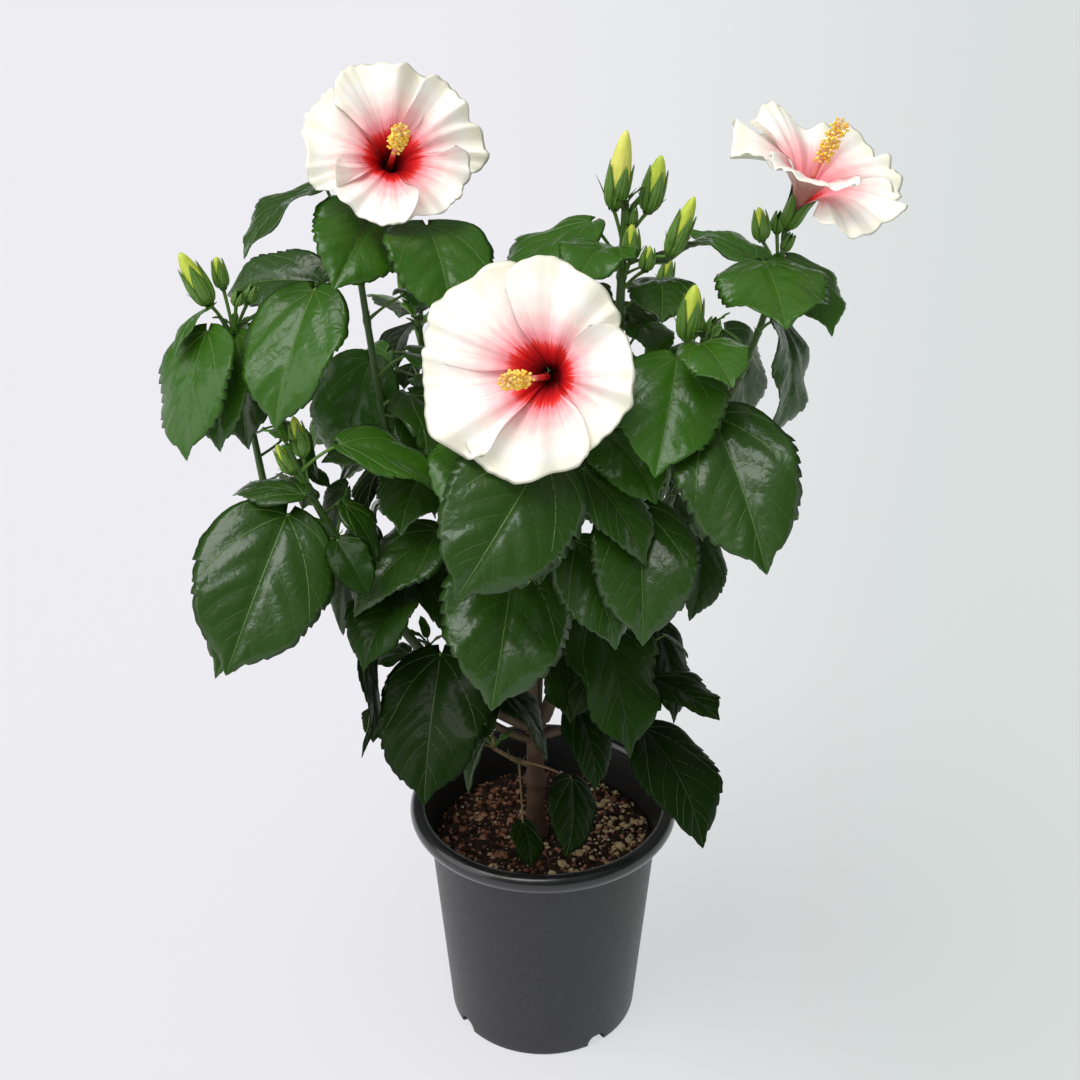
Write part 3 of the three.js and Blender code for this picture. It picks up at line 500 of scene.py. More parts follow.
# Lit and shaded copies of one leaf finish: the paler greens at the top are partly young growth and
# partly painted light, and the darker greens below, with little coat and specular, are painted
# shade.
LEAF_FACES = {
    LeafTone.YOUNG: leaf_finish("leaf_young", (0.052, 0.18, 0.005), 0.3),
    LeafTone.BRIGHT: leaf_finish("leaf_bright", (0.029, 0.104, 0.002), 0.6),
    LeafTone.MIDDLE: leaf_finish("leaf_middle", (0.018, 0.06, 0.0018), 0.8),
    LeafTone.DEEP: leaf_finish("leaf_deep_shade", (0.0105, 0.036, 0.0015), 0.15, 0.08),
    LeafTone.SHADED: leaf_finish("leaf_shaded", (0.006, 0.02, 0.0012), 0.1, 0.06),
}
LEAF_BACK = leaf_finish("leaf_back", (0.055, 0.1, 0.028), 0.0)
# painted shade: a darker back for the leaves of the two darkest greens
LEAF_BACK_DEEP_SHADE = leaf_finish("leaf_back_deep_shade", (0.026, 0.05, 0.017), 0.0)
VEIN_LIGHT = Finish("vein_light", (0.08, 0.17, 0.022), 0.45, relief=0.03, coat=0.2)
# painted shade: darker main veins for the leaves of the two darkest greens
VEIN_DEEP_SHADE = Finish("vein_deep_shade", (0.022, 0.054, 0.007), 0.45, relief=0.03, coat=0.2)
VEIN_FINE = Finish("vein_fine", (0.038, 0.1, 0.007), 0.45, relief=0.03, coat=0.3)
# painted shade: darker fine veins for the leaves of the two darkest greens
VEIN_FINE_DEEP_SHADE = Finish("vein_fine_deep_shade", (0.0095, 0.03, 0.0025), 0.45, relief=0.03, coat=0.3)
VEIN_BACK = Finish("vein_back", (0.12, 0.19, 0.06), 0.5, relief=0.03)


# ---- meshes ----


@dataclass
class Draft:
    """The corners and faces of one piece, gathered part by part."""

    finishes: list[Finish] = field(default_factory=list)
    points: list[Array] = field(default_factory=list)
    faces: list[Array] = field(default_factory=list)
    kinds: list[Array] = field(default_factory=list)
    marks: list[Array] = field(default_factory=list)
    count: int = 0

    def index_of(self, finish: Finish) -> int:
        """The number of a finish in this piece, added if it is new."""
        if finish not in self.finishes:
            self.finishes.append(finish)
        return self.finishes.index(finish)

    def add(self, points: Array, faces: Array, finish: Finish,
            marks: Array | None = None) -> None:
        """Adds one part with one finish.

        Args:
            points: Corners, one row each, in millimetres.
            faces: Corner numbers, three or four to a row.
            finish: The part's finish.
            marks: A row of three numbers for each corner, for a finish that reads them.
        """
        self.points.append(points)
        self.faces.append(faces + self.count)
        self.kinds.append(np.full(len(faces), self.index_of(finish)))
        self.marks.append(np.zeros((len(points), 3)) if marks is None else marks)
        self.count += len(points)

    def extend_faces(self, faces: Array, finish: Finish) -> None:
        """Adds faces with a finish on the corners of the last part."""
        if len(faces):
            self.faces.append(faces + self.count - len(self.points[-1]))
            self.kinds.append(np.full(len(faces), self.index_of(finish)))

    def extend_grid(self, index: Array, finish: Finish) -> None:
        """Adds a grid of faces with a finish on the corners of the last part."""
        for faces in grid_faces(index):
            self.extend_faces(faces, finish)

    def build(self, name: str, mark: str = "", smooth: bool = True) -> bpy.types.Object:
        """Makes the object, with its place in its mesh.

        Args:
            name: The piece's name.
            mark: The attribute that keeps the marks, if a finish reads them.
            smooth: Whether its faces are shaded smooth.

        Returns:
            The new object, at the origin.
        """
        mesh = bpy.data.meshes.new(name)
        points = np.concatenate(self.points) * MM
        mesh.vertices.add(len(points))
        mesh.vertices.foreach_set("co", points.ravel())
        corners = np.concatenate([block.ravel() for block in self.faces])
        totals = np.concatenate([np.full(len(b), b.shape[1]) for b in self.faces])
        mesh.loops.add(len(corners))
        mesh.loops.foreach_set("vertex_index", corners.astype(np.int32))
        mesh.polygons.add(len(totals))
        starts = np.concatenate([[0], np.cumsum(totals)[:-1]])
        mesh.polygons.foreach_set("loop_start", starts.astype(np.int32))
        mesh.polygons.foreach_set("material_index", np.concatenate(self.kinds).astype(np.int32))
        mesh.polygons.foreach_set("use_smooth", np.full(len(totals), smooth))
        for finish in self.finishes:
            mesh.materials.append(finish.material())
        if mark:
            layer = mesh.attributes.new(mark, "FLOAT_VECTOR", "POINT")
            marks = np.concatenate(self.marks).astype(np.float32)
            layer.data.foreach_set("vector", marks.ravel())
        mesh.update(calc_edges=True)
        mesh.validate()
        return add_object(name, mesh)


def add_object(name: str, data: bpy.types.ID) -> bpy.types.Object:
    """Puts a mesh, a lamp or a camera into the scene."""
    made = bpy.data.objects.new(name, data)
    bpy.context.scene.collection.objects.link(made)
    return made


def place_piece(piece: bpy.types.Object, slot: str, *nodes: str) -> None:
    """Rides a piece on the plant and hides the solids it stands for.

    Args:
        piece: The finished object.
        slot: The record's material slot; not used.
        nodes: The names of the solids that it stands for.
    """
    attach(piece, "root")
    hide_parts(*nodes)
    LOG.info("%s: %d faces, for %s", piece.name, len(piece.data.polygons), ", ".join(nodes))


def turns(count: int) -> Array:
    """Equal steps of one full turn, in radians."""
    return np.arange(count) * TURN / count


def lattice(rows: Sequence[float] | Array, columns: Sequence[float] | Array) -> Sequence[Array]:
    """The row value and the column value of each corner of a grid."""
    return np.meshgrid(rows, columns, indexing="ij")


def ring_index(count: int, sides: int) -> Array:
    """The corner numbers of closed rings, where each row ends on its first corner."""
    index = np.arange(count * sides).reshape(count, sides)
    return np.concatenate([index, index[:, :1]], 1)


def off_axis(axis: Array) -> Array:
    """A plain direction well off an axis."""
    return np.array([1.0, 0, 0]) if abs(axis[0]) < 0.7 else np.array([0, 1.0, 0])


def grid_faces(index: Array, flip: bool = False) -> tuple[Array, Array]:
    """The faces of a grid of corner numbers, where neighbours may be one corner.

    Args:
        index: Corner numbers by row and column.
        flip: Whether the faces are turned over.

    Returns:
        The four-cornered faces, and the three-cornered ones.
    """
    quads = np.stack([index[:-1, :-1], index[:-1, 1:], index[1:, 1:], index[1:, :-1]], -1)
    quads = quads.reshape(-1, 4)
    if flip:
        quads = quads[:, ::-1]
    same = quads == np.roll(quads, -1, axis=1)
    whole = quads[same.sum(1) == 0]
    rest, drop = quads[same.sum(1) == 1], same[same.sum(1) == 1]
    keep = np.array([row[~gone] for row, gone in zip(rest, drop)]).reshape(-1, 3)
    return whole, keep.astype(np.int64)


def add_grid(draft: Draft, points: Array, index: Array, finish: Finish, flip: bool = False,
             marks: Array | None = None) -> None:
    """Adds a grid of corners as one part."""
    quads, tris = grid_faces(index, flip)
    draft.add(points, quads, finish, marks)
    draft.extend_faces(tris, finish)


def tube_rings(line: Array, radii: Array, sides: int, wobble: Array | None = None) -> Array:
    """Rings of corners square to a line.

    Args:
        line: The middle of each ring.
        radii: The radius of each ring.
        sides: Corners in a ring.
        wobble: A factor on the radius for each ring and corner.

    Returns:
        An array of rings, corners and coordinates.
    """
    course = unit(np.gradient(line, axis=0))
    aside = off_axis(course[0])
    first = unit(aside - course * (course @ aside)[:, None])
    second = np.cross(course, first)
    angle = turns(sides)[None, :, None]
    spoke = first[:, None] * np.cos(angle) + second[:, None] * np.sin(angle)
    reach = np.asarray(radii, float)[:, None]
    if wobble is not None:
        reach = reach * wobble
    return line[:, None] + spoke * (reach * np.ones((1, sides)))[..., None]


def add_closed(draft: Draft, rings: Array, ends: Array, finish: Finish) -> None:
    """Adds a closed skin through rings, with its ends drawn to two end points.

    Args:
        draft: The piece that takes it.
        rings: Rings, corners and coordinates.
        ends: The two end points.
        finish: Its finish.
    """
    count, sides = rings.shape[:2]
    points = np.concatenate([rings.reshape(-1, 3), ends])
    foot, tip = (np.full((1, sides + 1), count * sides + k) for k in (0, 1))
    add_grid(draft, points, np.concatenate([foot, ring_index(count, sides), tip]), finish)


def add_rings(draft: Draft, rings: Array, finish: Finish) -> None:
    """Adds a closed tube through rings, given by ring, corner and coordinate."""
    add_closed(draft, rings, np.stack([rings[0].mean(0), rings[-1].mean(0)]), finish)


def add_tube(draft: Draft, line: Array, radii: Array, sides: int, finish: Finish) -> None:
    """Adds a round tube along a line."""
    add_rings(draft, tube_rings(line, radii, sides), finish)


def add_ball(draft: Draft, middle: Array, size: Array, finish: Finish, rows: int = 4,
             sides: int = 6) -> None:
    """Adds a small ball or pad, stretched by `size` along X, Y and Z.

    Args:
        draft: The piece that takes it.
        middle: Its middle.
        size: Its half sizes.
        finish: Its finish.
        rows: Rings between its poles.
        sides: Corners in a ring.
    """
    lift = (np.linspace(-90, 90, rows + 2)[1:-1] * RADIAN)[:, None]
    angle = turns(sides)
    rings = np.stack([np.cos(lift) * np.cos(angle), np.cos(lift) * np.sin(angle),
                      np.sin(lift) * np.ones(sides)], -1)
    poles = np.array([[0, 0, -1.0], [0, 0, 1.0]])
    add_closed(draft, rings * size + middle, poles * size + middle, finish)


def add_sheet(draft: Draft, middle: Array, thickness: float, face: Finish, back: Finish,
              marks: Array | None = None) -> None:
    """Adds a thin closed sheet about a grid of middle points, sharp at its margin.

    Args:
        draft: The piece that takes it.
        middle: Points by row and column; the last row may be one point.
        thickness: From face to back in the middle.
        face: The finish of the side that rows cross columns point to.
        back: The finish of the other side.
        marks: Marks by row and column.
    """
    rows, columns = middle.shape[:2]
    lengthwise, sideways = np.gradient(middle, axis=0), np.gradient(middle, axis=1)
    normal = unit(np.cross(lengthwise, sideways))
    inner = np.zeros((rows, columns, 1))
    inner[1:-1, 1:-1] = 1
    offset = normal * inner * thickness / 2
    index = np.arange(rows * columns).reshape(rows, columns)
    if np.linalg.norm(middle[-1, 0] - middle[-1, -1]) < 1e-6:
        index[-1] = index[-1, 0]
    under = index + rows * columns
    under[0], under[-1] = index[0], index[-1]
    under[:, 0], under[:, -1] = index[:, 0], index[:, -1]
    points = np.concatenate([(middle + offset).reshape(-1, 3), (middle - offset).reshape(-1, 3)])
    both = None if marks is None else np.concatenate([marks.reshape(-1, 3)] * 2)
    add_grid(draft, points, index, face, True, both)
    draft.extend_grid(under, back)


def wander(rng: np.random.Generator, t: Array, waves: int, size: float) -> Array:
    """A smooth random course over t in 0..1, made of a few waves.

    Args:
        rng: The chance to draw from.
        t: Where to read it.
        waves: How many waves.
        size: Its spread.

    Returns:
        Its values at t.
    """
    total = np.zeros_like(t)
    for k in range(1, waves + 1):
        total = total + rng.normal() / k * np.sin(k * math.pi * t + rng.uniform(0, TURN))
    return total * size


# ---- limbs ----


@dataclass(frozen=True)
class Bend:
    """A limb's middle line, on one bend."""

    start: Array
    control: Array
    end: Array

    def at(self, t: float | Array) -> Array:
        """The point, or row of points, at t."""
        t = np.asarray(t, float)[..., None]
        return (1 - t) ** 2 * self.start + 2 * t * (1 - t) * self.control + t ** 2 * self.end

    def heading(self, t: float) -> Array:
        """The direction at t."""
        return unit((self.control - self.start) * (1 - t) + (self.end - self.control) * t)

    def span(self, first: float, last: float, count: int) -> Array:
        """Points from one share of the length to another, `count` steps."""
        return self.at(first + (last - first) * np.arange(count + 1) / count)

    def length(self) -> float:
        """The length along the bend."""
        return float(np.linalg.norm(np.diff(self.span(0, 1, 30), axis=0), axis=1).sum())


@dataclass(frozen=True)
class LimbSpec:
    """How a limb leaves its parent: where, which way, and how far it reaches and rises."""

    name: str
    parent: str
    at: float
    turn: float
    reach: float
    rise: float
    out: float
    up: float
    thick: float
    thin: float

    def bend_from(self, start: Array) -> Bend:
        """The limb's line from a start point."""
        away = direction(self.turn, 0) * self.reach
        lift = np.array([0, 0, self.rise])
        return Bend(start, start + away * self.out + lift * self.up, start + away + lift)

    def radius(self, t: float | Array) -> float | Array:
        """The radius at t."""
        return self.thick + (self.thin - self.thick) * t


@dataclass(frozen=True)
class Wood:
    """One grown limb: its line, and its radius along it."""

    bend: Bend
    radius: Callable[[Array], Array]


@dataclass
class Framework:
    """The trunk and the boughs, with their bark."""

    foot: Triple = (-5.5, 0.0, 158.6)
    reach: float = 0.5
    rise: float = 107
    foot_radius: float = 6.8
    top_radius: float = 6.2
    flare: float = 2.6
    flare_length: float = 0.09
    collar: float = 2.2
    collars: tuple[float, float] = (0.46, 0.93)
    collar_length: float = 0.045
    branch_foot: float = 0.8
    green_from: float = 330.0
    seed: int = 700
    trunk_rings: int = 150
    trunk_sides: int = 48
    bough_sides: int = 24
    ring_step: float = 1.6
    knot_step: float = 22
    knot_length: float = 2.2
    boughs: tuple[LimbSpec, ...] = (
        LimbSpec("bough_right_main", "trunk", 0.97, 2, 48, 258, 0.87, 0.45, 5.2, 3.6),
        LimbSpec("bough_right", "bough_right_main", 0.45, 8, 98, 155, 0.6, 0.35, 3.6, 2.6),
        LimbSpec("bough_right_front", "bough_right_main", 0.36, -38, 56, 95, 0.6, 0.35, 3.4, 2.6),
        LimbSpec("bough_centre", "trunk", 0.95, -95, 40, 160, 0.6, 0.4, 4.0, 3.0),
        LimbSpec("bough_upper_left", "trunk", 0.97, 174, 90, 190, 0.85, 0.45, 4.6, 3.0),
        LimbSpec("bough_left", "bough_upper_left", 0.6, 184, 104, 55, 0.5, 0.35, 3.4, 2.8),
        LimbSpec("bough_low_left", "trunk", 0.93, 207, 105, 130, 0.6, 0.35, 4.0, 3.2),
        LimbSpec("bough_back_left", "trunk", 0.95, 130, 92, 130, 0.6, 0.4, 4.0, 2.8),
        LimbSpec("bough_back", "trunk", 0.98, 84, 70, 150, 0.6, 0.4, 4.0, 2.8),
        LimbSpec("bough_back_right", "bough_right_main", 0.2, 46, 70, 110, 0.6, 0.35, 3.8, 2.8),
        LimbSpec("bough_lower_right", "trunk", 0.85, -33, 55, 48, 0.6, 0.4, 3.2, 2.4),
        LimbSpec("bough_lower_left", "trunk", 0.82, 212, 48, 45, 0.6, 0.4, 3.2, 2.4),
        LimbSpec("bough_lower_back", "trunk", 0.88, 105, 48, 50, 0.6, 0.4, 3.2, 2.4),
    )
    limbs: dict[str, Wood] = field(default_factory=dict)

    def trunk_radius(self, t: Array) -> Array:
        """The trunk's radius, with its root flare and its two collars.

        Args:
            t: From the foot to the fork.

        Returns:
            The radius at t.
        """
        t = np.asarray(t, float)
        rise = [bell((t - place) / self.collar_length) for place in self.collars]
        collars = self.collar * np.max(rise, axis=0)
        taper = self.foot_radius + (self.top_radius - self.foot_radius) * t
        return taper + self.flare * np.exp(-t / self.flare_length) + collars

    def branch(self, spec: LimbSpec) -> Bend:
        """The line of a limb that leaves another one.

        Args:
            spec: The limb.

        Returns:
            Its line, from the parent's bark.
        """
        parent = self.limbs[spec.parent]
        start = parent.bend.at(spec.at)
        if spec.at < 1:
            away = direction(spec.turn, 0) * float(parent.radius(spec.at)) * self.branch_foot
            start = start + away
        return spec.bend_from(start)

    def grow(self) -> None:
        """Grows the lines of the trunk and the boughs."""
        trunk = LimbSpec("trunk", "", 0, 180, self.reach, self.rise, 0.5, 0.5, 0, 0)
        self.limbs["trunk"] = Wood(trunk.bend_from(np.array(self.foot)), self.trunk_radius)
        for spec in self.boughs:
            self.limbs[spec.name] = Wood(self.branch(spec), spec.radius)

    def bark_rings(self, wood: Wood, rings: int, sides: int, rough: float,
                   rng: np.random.Generator) -> Array:
        """Rings of one limb with the relief of its bark.

        Args:
            wood: The limb.
            rings: How many rings.
            sides: Corners in a ring.
            rough: Height of the ridges as a share of the radius.
            rng: The limb's own chance.

        Returns:
            Rings, corners and coordinates.
        """
        t = np.linspace(0, 1, rings)
        angle = turns(sides)
        relief = np.zeros((rings, sides))
        for k, size in ((2, 0.7), (3, 0.8), (5, 0.6), (9, 0.5), (14, 0.4)):
            drift = wander(rng, t, 4, 1.5)[:, None]
            relief += size * np.sin(k * angle[None, :] + drift + rng.uniform(0, TURN)) * (
                0.6 + 0.4 * np.sin(wander(rng, t, 6, 3.0)))[:, None]
        length = wood.bend.length()
        count = max(int(length / self.knot_step), 2)
        for place in (np.arange(count) + 0.5 + rng.uniform(-0.25, 0.25, count)) / count:
            side = rng.uniform(0, TURN)
            bump = bell((t - place) / (self.knot_length / length))
            relief += bump[:, None] * (1.1 + 1.5 * np.maximum(np.cos(angle - side), 0) ** 3)
        return tube_rings(wood.bend.at(t), wood.radius(t), sides, 1 + rough * relief)

    def dress(self) -> None:
        """Replaces the trunk and each bough by a mesh with its bark."""
        for number, (name, wood) in enumerate(self.limbs.items()):
            rng = np.random.default_rng(self.seed + number)
            draft = Draft()
            trunk = name == "trunk"
            if trunk:
                body = self.bark_rings(wood, self.trunk_rings, self.trunk_sides, 0.035, rng)
                add_rings(draft, body, TRUNK_BARK)
            else:
                rings = max(int(wood.bend.length() / self.ring_step), 40)
                body = self.bark_rings(wood, rings, self.bough_sides, 0.03, rng)
                split = int(np.searchsorted(body[:, :, 2].mean(1), self.green_from))
                split = min(max(split, 2), rings - 2)
                add_rings(draft, body[:split + 1], BOUGH_BARK)
                add_rings(draft, body[split:], GREEN_BARK)
            piece = draft.build("wood_" + name.removeprefix("bough_"))
            place_piece(piece, "bark" if trunk else "green_wood", name)


# ---- leaves ----


@dataclass(frozen=True)
class LeafSpec:
    """Where a leaf's stalk leaves its stem, and how its blade lies."""

    at: float
    turn: float
    rise: float
    stalk: float
    blade: float
    wide: float
    heading: float
    hang: float
    roll: float

    def root(self, stem: Bend) -> Array:
        """Where the stalk meets the blade."""
        return stem.at(self.at) + direction(self.turn, self.rise) * self.stalk

    def axes(self) -> tuple[Array, Array, Array]:
        """The blade's directions along its midrib, across it, and out of its face.

        Returns:
            Three unit vectors.
        """
        along = direction(self.heading, -self.hang)
        over = direction(self.heading, 90 - self.hang)
        across = np.cross(over, along)
        turned = self.roll * RADIAN
        return (along, across * math.cos(turned) + over * math.sin(turned),
                over * math.cos(turned) - across * math.sin(turned))


def stalk_bend(start: Array, end: Array) -> Bend:
    """A stalk's line, which rises a little in its middle."""
    middle = (start + end) / 2
    middle[2] += np.linalg.norm(end - start) * 0.12
    return Bend(start, middle, end)


@dataclass(frozen=True)
class LeafForm:
    """The shape that all the blades share."""

    fold: tuple[float, float] = (8, 14)
    bend: tuple[float, float] = (25, 25)
    lobe: float = 0.07
    root_round: float = 0.5
    tip_round: float = 0.98
    fold_ease: float = 0.55
    slim: float = 0.93
    shoulder: float = 0.13
    shoulder_at: float = 0.74
    shoulder_length: float = 0.15
    pinch: float = 0.3
    pinch_at: float = 0.93
    pinch_length: float = 0.05

    def outline(self, t: Array) -> Array:
        """Half width along the length, as a share of the broadest."""
        root, tip = self.root_round, self.tip_round
        peak = (root / (root + tip)) ** root * (tip / (root + tip)) ** tip
        return np.maximum(t, 0) ** root * np.maximum(1 - t, 0) ** tip / peak

    def full_outline(self, t: Array) -> Array:
        """The outline with the fuller shoulders that run into a drawn-out tip.

        Args:
            t: From the root to the tip.

        Returns:
            Half width as a share of the broadest.
        """
        off = (np.asarray(t) - self.shoulder_at) / self.shoulder_length
        near_tip = (np.asarray(t) - self.pinch_at) / self.pinch_length
        return (self.outline(t) * self.slim * (1 + self.shoulder * bell(off))
                * (1 - self.pinch * bell(near_tip)))

    def surface(self, root: Array, spec: LeafSpec, number: int, full: bool = False) -> Surface:
        """The plain middle surface of a blade.

        Args:
            root: Where the stalk meets the blade.
            spec: The leaf.
            number: Its number in its mass, which settles its fold and curl.
            full: Whether it has its full outline.

        Returns:
            A function from t, root to tip, and s, edge to edge, to points.
        """
        along, across, over = spec.axes()
        outline = self.full_outline if full else self.outline
        bend = (self.bend[0] + self.bend[1] * share(number * 0.618)) * RADIAN
        fold = (self.fold[0] + self.fold[1] * share(number * 0.382)) * RADIAN
        radius = spec.blade / (2 * math.sin(bend / 2))

        def place(t: Array, s: Array) -> Array:
            """Points at t and s.

            Args:
                t: From the root to the tip.
                s: From one edge to the other.

            Returns:
                Points, by the shape of t and s.
            """
            angle = bend * (t - 0.5)
            half = spec.blade * spec.wide * outline(t) * np.abs(s) / 2
            raised = half * math.sin(fold) * (1 - self.fold_ease * np.abs(s))
            back = self.lobe * spec.blade * np.maximum(1 - t, 0) ** 6 * np.abs(s) ** 1.5
            x = radius * (np.sin(angle) + math.sin(bend / 2)) - back + np.sin(angle) * raised
            z = radius * (np.cos(angle) - math.cos(bend / 2)) + np.cos(angle) * raised
            y = np.sign(s) * half * math.cos(fold)
            return root + x[..., None] * along + y[..., None] * across + z[..., None] * over

        return place


LEAF_FORM = LeafForm()


@dataclass(frozen=True)
class Vein:
    """A vein's course over a blade, and its breadth at its root."""

    t: Array
    s: Array
    breadth: float
    main: bool


@dataclass
class Blade:
    """One leaf blade in full: toothed, quilted between its veins, and waved at its margin."""

    spec: LeafSpec
    stem: Bend
    number: int
    rng: np.random.Generator
    tone: LeafTone = LeafTone.MIDDLE
    small: bool = False
    thickness: float = 0.5
    tooth_from: float = 0.27
    tooth_to: float = 0.965
    tooth_depth: float = 0.054
    quilt: float = 0.023
    groove: float = 0.05
    side_groove: float = 0.75

    def __post_init__(self) -> None:
        """Deals out the leaf's own shape."""
        rng = self.rng
        self.teeth = 6 if self.small else int(rng.integers(9, 12))
        self.columns = 10 if self.small else 20
        self.tooth_sizes = rng.uniform(0.6, 1.3, (2, self.teeth + 1))
        self.phase = rng.uniform(0, TURN, 2)
        self.waves = rng.uniform(1.3, 2.5)
        self.wave = rng.uniform(0.018, 0.055)
        self.sweep = rng.uniform(-0.06, 0.06)
        self.droop = rng.uniform(0.01, 0.13)
        self.twist = rng.uniform(-0.22, 0.22)
        self.arch = rng.uniform(-0.16, 0.04)
        self.veins = self.lay_veins()

    def rows(self) -> Array:
        """The rows' places along the blade: three to a tooth.

        Returns:
            Places from 0 to 1.
        """
        step = (self.tooth_to - self.tooth_from) / self.teeth
        base = np.array([0, 0.006, 0.02, 0.045, 0.08, 0.12, 0.165, 0.215])
        steps = np.concatenate([self.tooth_from + step * (k + np.array([0, 0.42, 0.84]))
                                for k in range(self.teeth)])
        return np.concatenate([base, steps, [self.tooth_to, 0.985, 1.0]])

    def lay_veins(self) -> list[Vein]:
        """Lays the midrib, the fan of main veins at the root, and the side veins.

        Returns:
            The veins.
        """
        found = [Vein(np.linspace(0.0, 0.97, 20), np.zeros(20), 1.15, True)]
        part = np.linspace(0, 1, 9)
        for side in (-1, 1):
            shift = self.rng.uniform(-0.03, 0.03, 5)
            starts = [(0.0, 0.2, 0.5, True), (0.0, 0.55, 0.8, True)]
            starts += [(at + off, at + reach + off, 0.4, False) for (at, reach), off in
                       zip(((0.3, 0.36), (0.46, 0.3), (0.61, 0.23), (0.74, 0.16)), shift)]
            for begin, end, breadth, main in starts:
                t = begin + (end - begin) * part
                edge = LEAF_FORM.full_outline(np.array(end))
                reach = part + 0.14 * np.sin(part * math.pi)
                s = reach * edge / np.maximum(LEAF_FORM.full_outline(t), 0.05) * 0.94
                found.append(Vein(t, side * np.clip(s, 0, 0.96), breadth, main))
            lateral = found[-5]
            for begin, end in ((0.2, 0.3), (0.34, 0.44)):
                inner = np.interp(begin, lateral.t, np.abs(lateral.s))
                s = inner + (0.94 - inner) * part ** 0.8
                found.append(Vein(begin + (end - begin) * part, side * s, 0.3, False))
        return found

    def flat(self, t: Array, s: Array) -> Array:
        """Points of the blade laid flat, as shares of its length."""
        return np.stack([t, s * LEAF_FORM.full_outline(t) * self.spec.wide / 2], -1)

    def swell(self, t: Array, s: Array) -> Array:
        """How far the blade swells between its veins, from 0 to 1.

        Args:
            t: From the root to the tip.
            s: From one edge to the other.

        Returns:
            The swelling at each place.
        """
        here = self.flat(t, s).reshape(-1, 1, 2)
        sunk = np.zeros(t.size)
        for vein in self.veins:
            line = self.flat(vein.t, vein.s)
            first, step = line[:-1], line[1:] - line[:-1]
            part = ((here - first) * step).sum(-1) / np.maximum((step ** 2).sum(-1), 1e-9)
            near = first + np.clip(part, 0, 1)[..., None] * step
            nearest = np.linalg.norm(here - near, axis=-1).min(1)
            depth = 1 if vein.main else self.side_groove
            sunk = np.maximum(sunk, depth * bell(nearest / self.groove))
        return (1 - sunk.reshape(t.shape)) * (1 - np.abs(s) ** 5) * np.clip(t * 8, 0, 1)

    def tooth_reach(self, t: Array, s: Array) -> Array:
        """How far the margin stands out at its teeth, as a share of the length.

        Args:
            t: From the root to the tip.
            s: From one edge to the other.

        Returns:
            The reach at each place.
        """
        far = (t - self.tooth_from) / (self.tooth_to - self.tooth_from)
        tooth = np.clip(far, 0, 1) * self.teeth
        part = (tooth - np.floor(tooth)) * (tooth > 0) * (tooth < self.teeth)
        number = np.floor(tooth).astype(int)
        size = np.where(s < 0, self.tooth_sizes[0][number], self.tooth_sizes[1][number])
        half = LEAF_FORM.full_outline(t) * self.spec.wide / 2
        rounded = np.sin(np.clip(part / 0.84, 0, 1) * math.pi / 2)
        return self.tooth_depth * size * rounded * np.abs(s) ** 9 * np.sqrt(half * 0.4)

    def middle(self, t: Array, s: Array) -> Array:
        """Points of the waved and quilted middle surface.

        Args:
            t: From the root to the tip.
            s: From one edge to the other.

        Returns:
            Points, by the shape of t and s.
        """
        spec = self.spec
        along, across, over = spec.axes()
        plain = LEAF_FORM.surface(spec.root(self.stem), spec, self.number, full=True)
        half = s * LEAF_FORM.full_outline(t) * spec.wide / 2
        sway = np.sin(TURN * self.waves * t + np.where(s > 0, self.phase[0], self.phase[1]))
        lift = self.wave * s ** 2 * sway * np.clip(6 * t * (1 - t), 0, 1)
        lift = lift + self.quilt * self.swell(t, s) - self.droop * t ** 3
        lift = lift + self.twist * half * t + self.arch * (2 * half) ** 2
        reach = self.tooth_reach(t, s)
        gap = 0.02 * (1 - t) ** 12 * np.sign(s) * np.abs(s)
        side = gap + self.sweep * t ** 2 + np.sign(s) * reach
        moved = lift[..., None] * over + side[..., None] * across
        return plain(t, s) + (moved + (0.6 * reach)[..., None] * along) * spec.blade

    def on_grid(self, grid: Array, t: Array, s: Array) -> Array:
        """Values between the corners of a grid that follows this blade's rows and columns.

        Args:
            grid: Values at the blade's corners.
            t: From the root to the tip.
            s: From one edge to the other.

        Returns:
            A value for each place.
        """
        row = np.interp(t, self.rows(), np.arange(len(grid)))
        column = (s + 1) / 2 * self.columns
        i = np.minimum(row.astype(int), len(grid) - 2)
        j = np.minimum(column.astype(int), self.columns - 1)
        u, v = (row - i)[:, None], (column - j)[:, None]
        return ((1 - u) * ((1 - v) * grid[i, j] + v * grid[i, j + 1])
                + u * ((1 - v) * grid[i + 1, j] + v * grid[i + 1, j + 1]))

    def add_to(self, draft: Draft) -> None:
        """Adds the blade and its veins to the leaves of its mass.

        Args:
            draft: The piece that takes it.
        """
        t, s = lattice(self.rows(), np.linspace(-1, 1, self.columns + 1))
        grid = self.middle(t, s)
        # Leaves of the two darkest greens, which paint shade, also take the painted-shade backs
        # and veins
        deep_in_shade = self.tone in (LeafTone.DEEP, LeafTone.SHADED)
        add_sheet(draft, grid, self.thickness, LEAF_FACES[self.tone],
                  LEAF_BACK_DEEP_SHADE if deep_in_shade else LEAF_BACK)
        normal = unit(np.cross(np.gradient(grid, axis=0), np.gradient(grid, axis=1)))
        for vein in self.veins:
            if self.small and not vein.main:
                continue
            if vein.main:
                finish = VEIN_DEEP_SHADE if deep_in_shade else VEIN_LIGHT
            else:
                finish = VEIN_FINE_DEEP_SHADE if deep_in_shade else VEIN_FINE
            line, over = (self.on_grid(part, vein.t, vein.s) for part in (grid, normal))
            self.add_vein(draft, line, unit(over), vein, finish)

